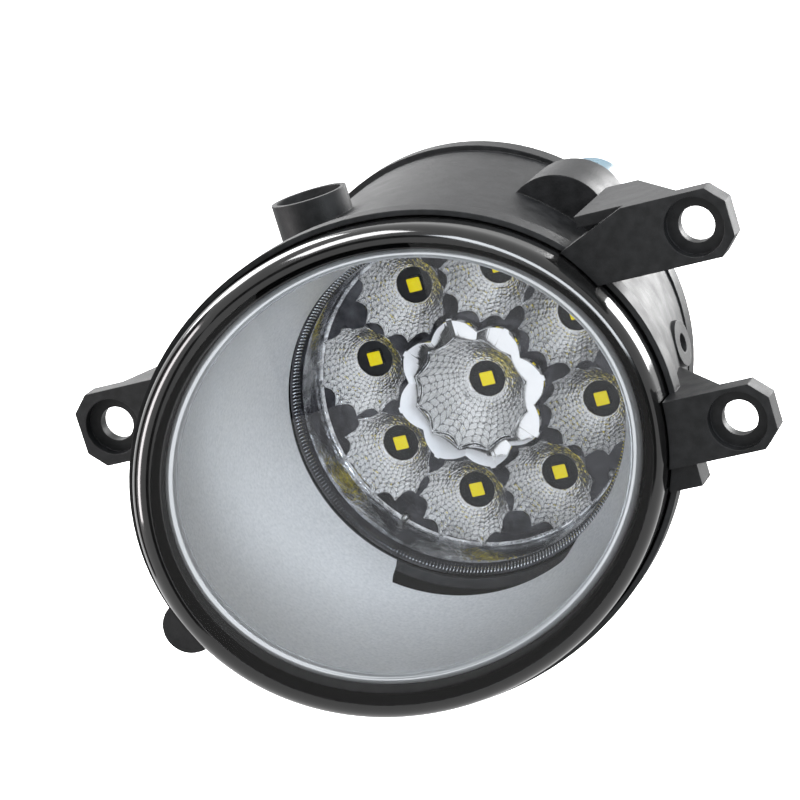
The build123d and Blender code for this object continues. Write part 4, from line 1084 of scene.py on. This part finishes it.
# name, place from the lamp's middle, width, height
darkCards = [
    ("frontCard", (0.41, -1.0, 0.23), 0.45, 0.45),
    ("leftCard", (-0.45, -0.95, 0.1), 0.22, 1.4),
    ("rightCard", (1.05, -0.45, 0.1), 0.3, 1.4),
    ("highCard", (0.25, -0.7, 0.9), 1.3, 0.25),
    ("wideLeftCard", (-1.0, 0.1, 0.3), 0.35, 1.4),
]
# angles in degrees, distance in metres, lens and sensor in millimetres
camera = {
    "azimuth": 22.36, "elevation": 12.37, "roll": 17.3,
    "distance": 0.7,
    "lens": 157.5,
    "sensor": 36.0,
    "nearest": 0.01, "farthest": 20.0,
    "shiftX": -0.0041, "shiftY": 0.0871,
}


def makeStage():
    # a pale floor that bends up into a back wall
    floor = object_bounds()[0].z - studio["floorGap"]
    size, bend = studio["floorSize"], studio["backRadius"]
    line = [(-size, 0.0), (size * 0.5, 0.0)]
    for i in range(1, studio["bendSteps"] + 1):
        a = math.pi / 2 * i / studio["bendSteps"]
        line.append((size * 0.5 + bend * math.sin(a), bend * (1 - math.cos(a))))
    line.append((size * 0.5 + bend, size))
    shape = bmesh.new()
    rows = [[shape.verts.new((x, y, floor + z)) for y, z in line] for x in (-size, size)]
    for i in range(len(line) - 1):
        shape.faces.new((rows[0][i], rows[1][i], rows[1][i + 1], rows[0][i + 1]))
    material, _, shader = newFinish("paleSweep", Roughness=0.9)
    shader.inputs["Base Color"].default_value = studio["white"]
    shader.inputs["Emission Color"].default_value = (1, 1, 1, 1)
    shader.inputs["Emission Strength"].default_value = studio["sweepGlow"]
    sweep = makePiece("studioSweep", shape, material)
    # the room's light reaches the lamp as though the sweep were not there
    sweep.visible_diffuse = False
    sweep.visible_glossy = False
    sweep.visible_shadow = False
    sweep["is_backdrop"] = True


def softBox(name, spot, target, width, height, power, colour):
    light = bpy.data.lights.new(name, "AREA")
    light.shape = "RECTANGLE"
    light.size, light.size_y = width, height
    light.energy = power
    light.color = colour
    holder = bpy.data.objects.new(name, light)
    bpy.context.scene.collection.objects.link(holder)
    holder.location = spot
    holder.rotation_euler = (Vector(spot) - Vector(target)).to_track_quat("Z", "Y").to_euler()
    holder.visible_camera = False


def darkCard(name, spot, target, width, height):
    # only seen as a dark reflection in the lamp
    shape = bmesh.new()
    corners = [shape.verts.new((x * width / 2, y * height / 2, 0))
               for x, y in ((-1, -1), (1, -1), (1, 1), (-1, 1))]
    shape.faces.new(corners)
    shape.transform(Matrix.Translation(Vector(spot))
                    @ (Vector(spot) - Vector(target)).to_track_quat("Z", "Y").to_matrix().to_4x4())
    material, _, shader = newFinish("blackCloth", Roughness=1.0)
    shader.inputs["Base Color"].default_value = (0.01, 0.01, 0.01, 1.0)
    card = makePiece(name, shape, material)
    card.visible_camera = False
    card.visible_shadow = False
    card.visible_diffuse = False
    card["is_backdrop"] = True


def makeWorld():
    # an even white room
    world = bpy.data.worlds.new("studioAir")
    world.use_nodes = True
    background = world.node_tree.nodes["Background"]
    background.inputs["Color"].default_value = (1, 1, 1, 1)
    background.inputs["Strength"].default_value = studio["roomLight"]
    bpy.context.scene.world = world


def makeStudio():
    makeWorld()
    middle = place(0, studio["aim"], 0)
    for name, spot, width, height, power, colour in softBoxes:
        softBox(name, middle + Vector(spot), middle, width, height, power, colour)
    for name, spot, width, height in darkCards:
        darkCard(name, middle + Vector(spot), middle, width, height)


def makeCamera():
    azimuth, elevation = math.radians(camera["azimuth"]), math.radians(camera["elevation"])
    roll = math.radians(camera["roll"])
    back = Vector((math.sin(azimuth) * math.cos(elevation),
                   -math.cos(azimuth) * math.cos(elevation), math.sin(elevation)))
    level = Vector((math.cos(azimuth), math.sin(azimuth), 0))
    upright = back.cross(level)
    right = level * math.cos(roll) - upright * math.sin(roll)
    up = level * math.sin(roll) + upright * math.cos(roll)
    data = bpy.data.cameras.new("studioCamera")
    data.lens = camera["lens"]
    data.sensor_width = camera["sensor"]
    data.shift_x, data.shift_y = camera["shiftX"], camera["shiftY"]
    data.clip_start, data.clip_end = camera["nearest"], camera["farthest"]
    eye = bpy.data.objects.new("studioCamera", data)
    bpy.context.scene.collection.objects.link(eye)
    pose = Matrix((right, up, back)).transposed().to_4x4()
    pose.translation = place(0, 0, 0) + back * camera["distance"]
    eye.matrix_world = pose
    bpy.context.scene.camera = eye


makeStage()
makeStudio()
makeCamera()
bpy.context.scene.view_settings.view_transform = "Standard"
print("studio made")

low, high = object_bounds()
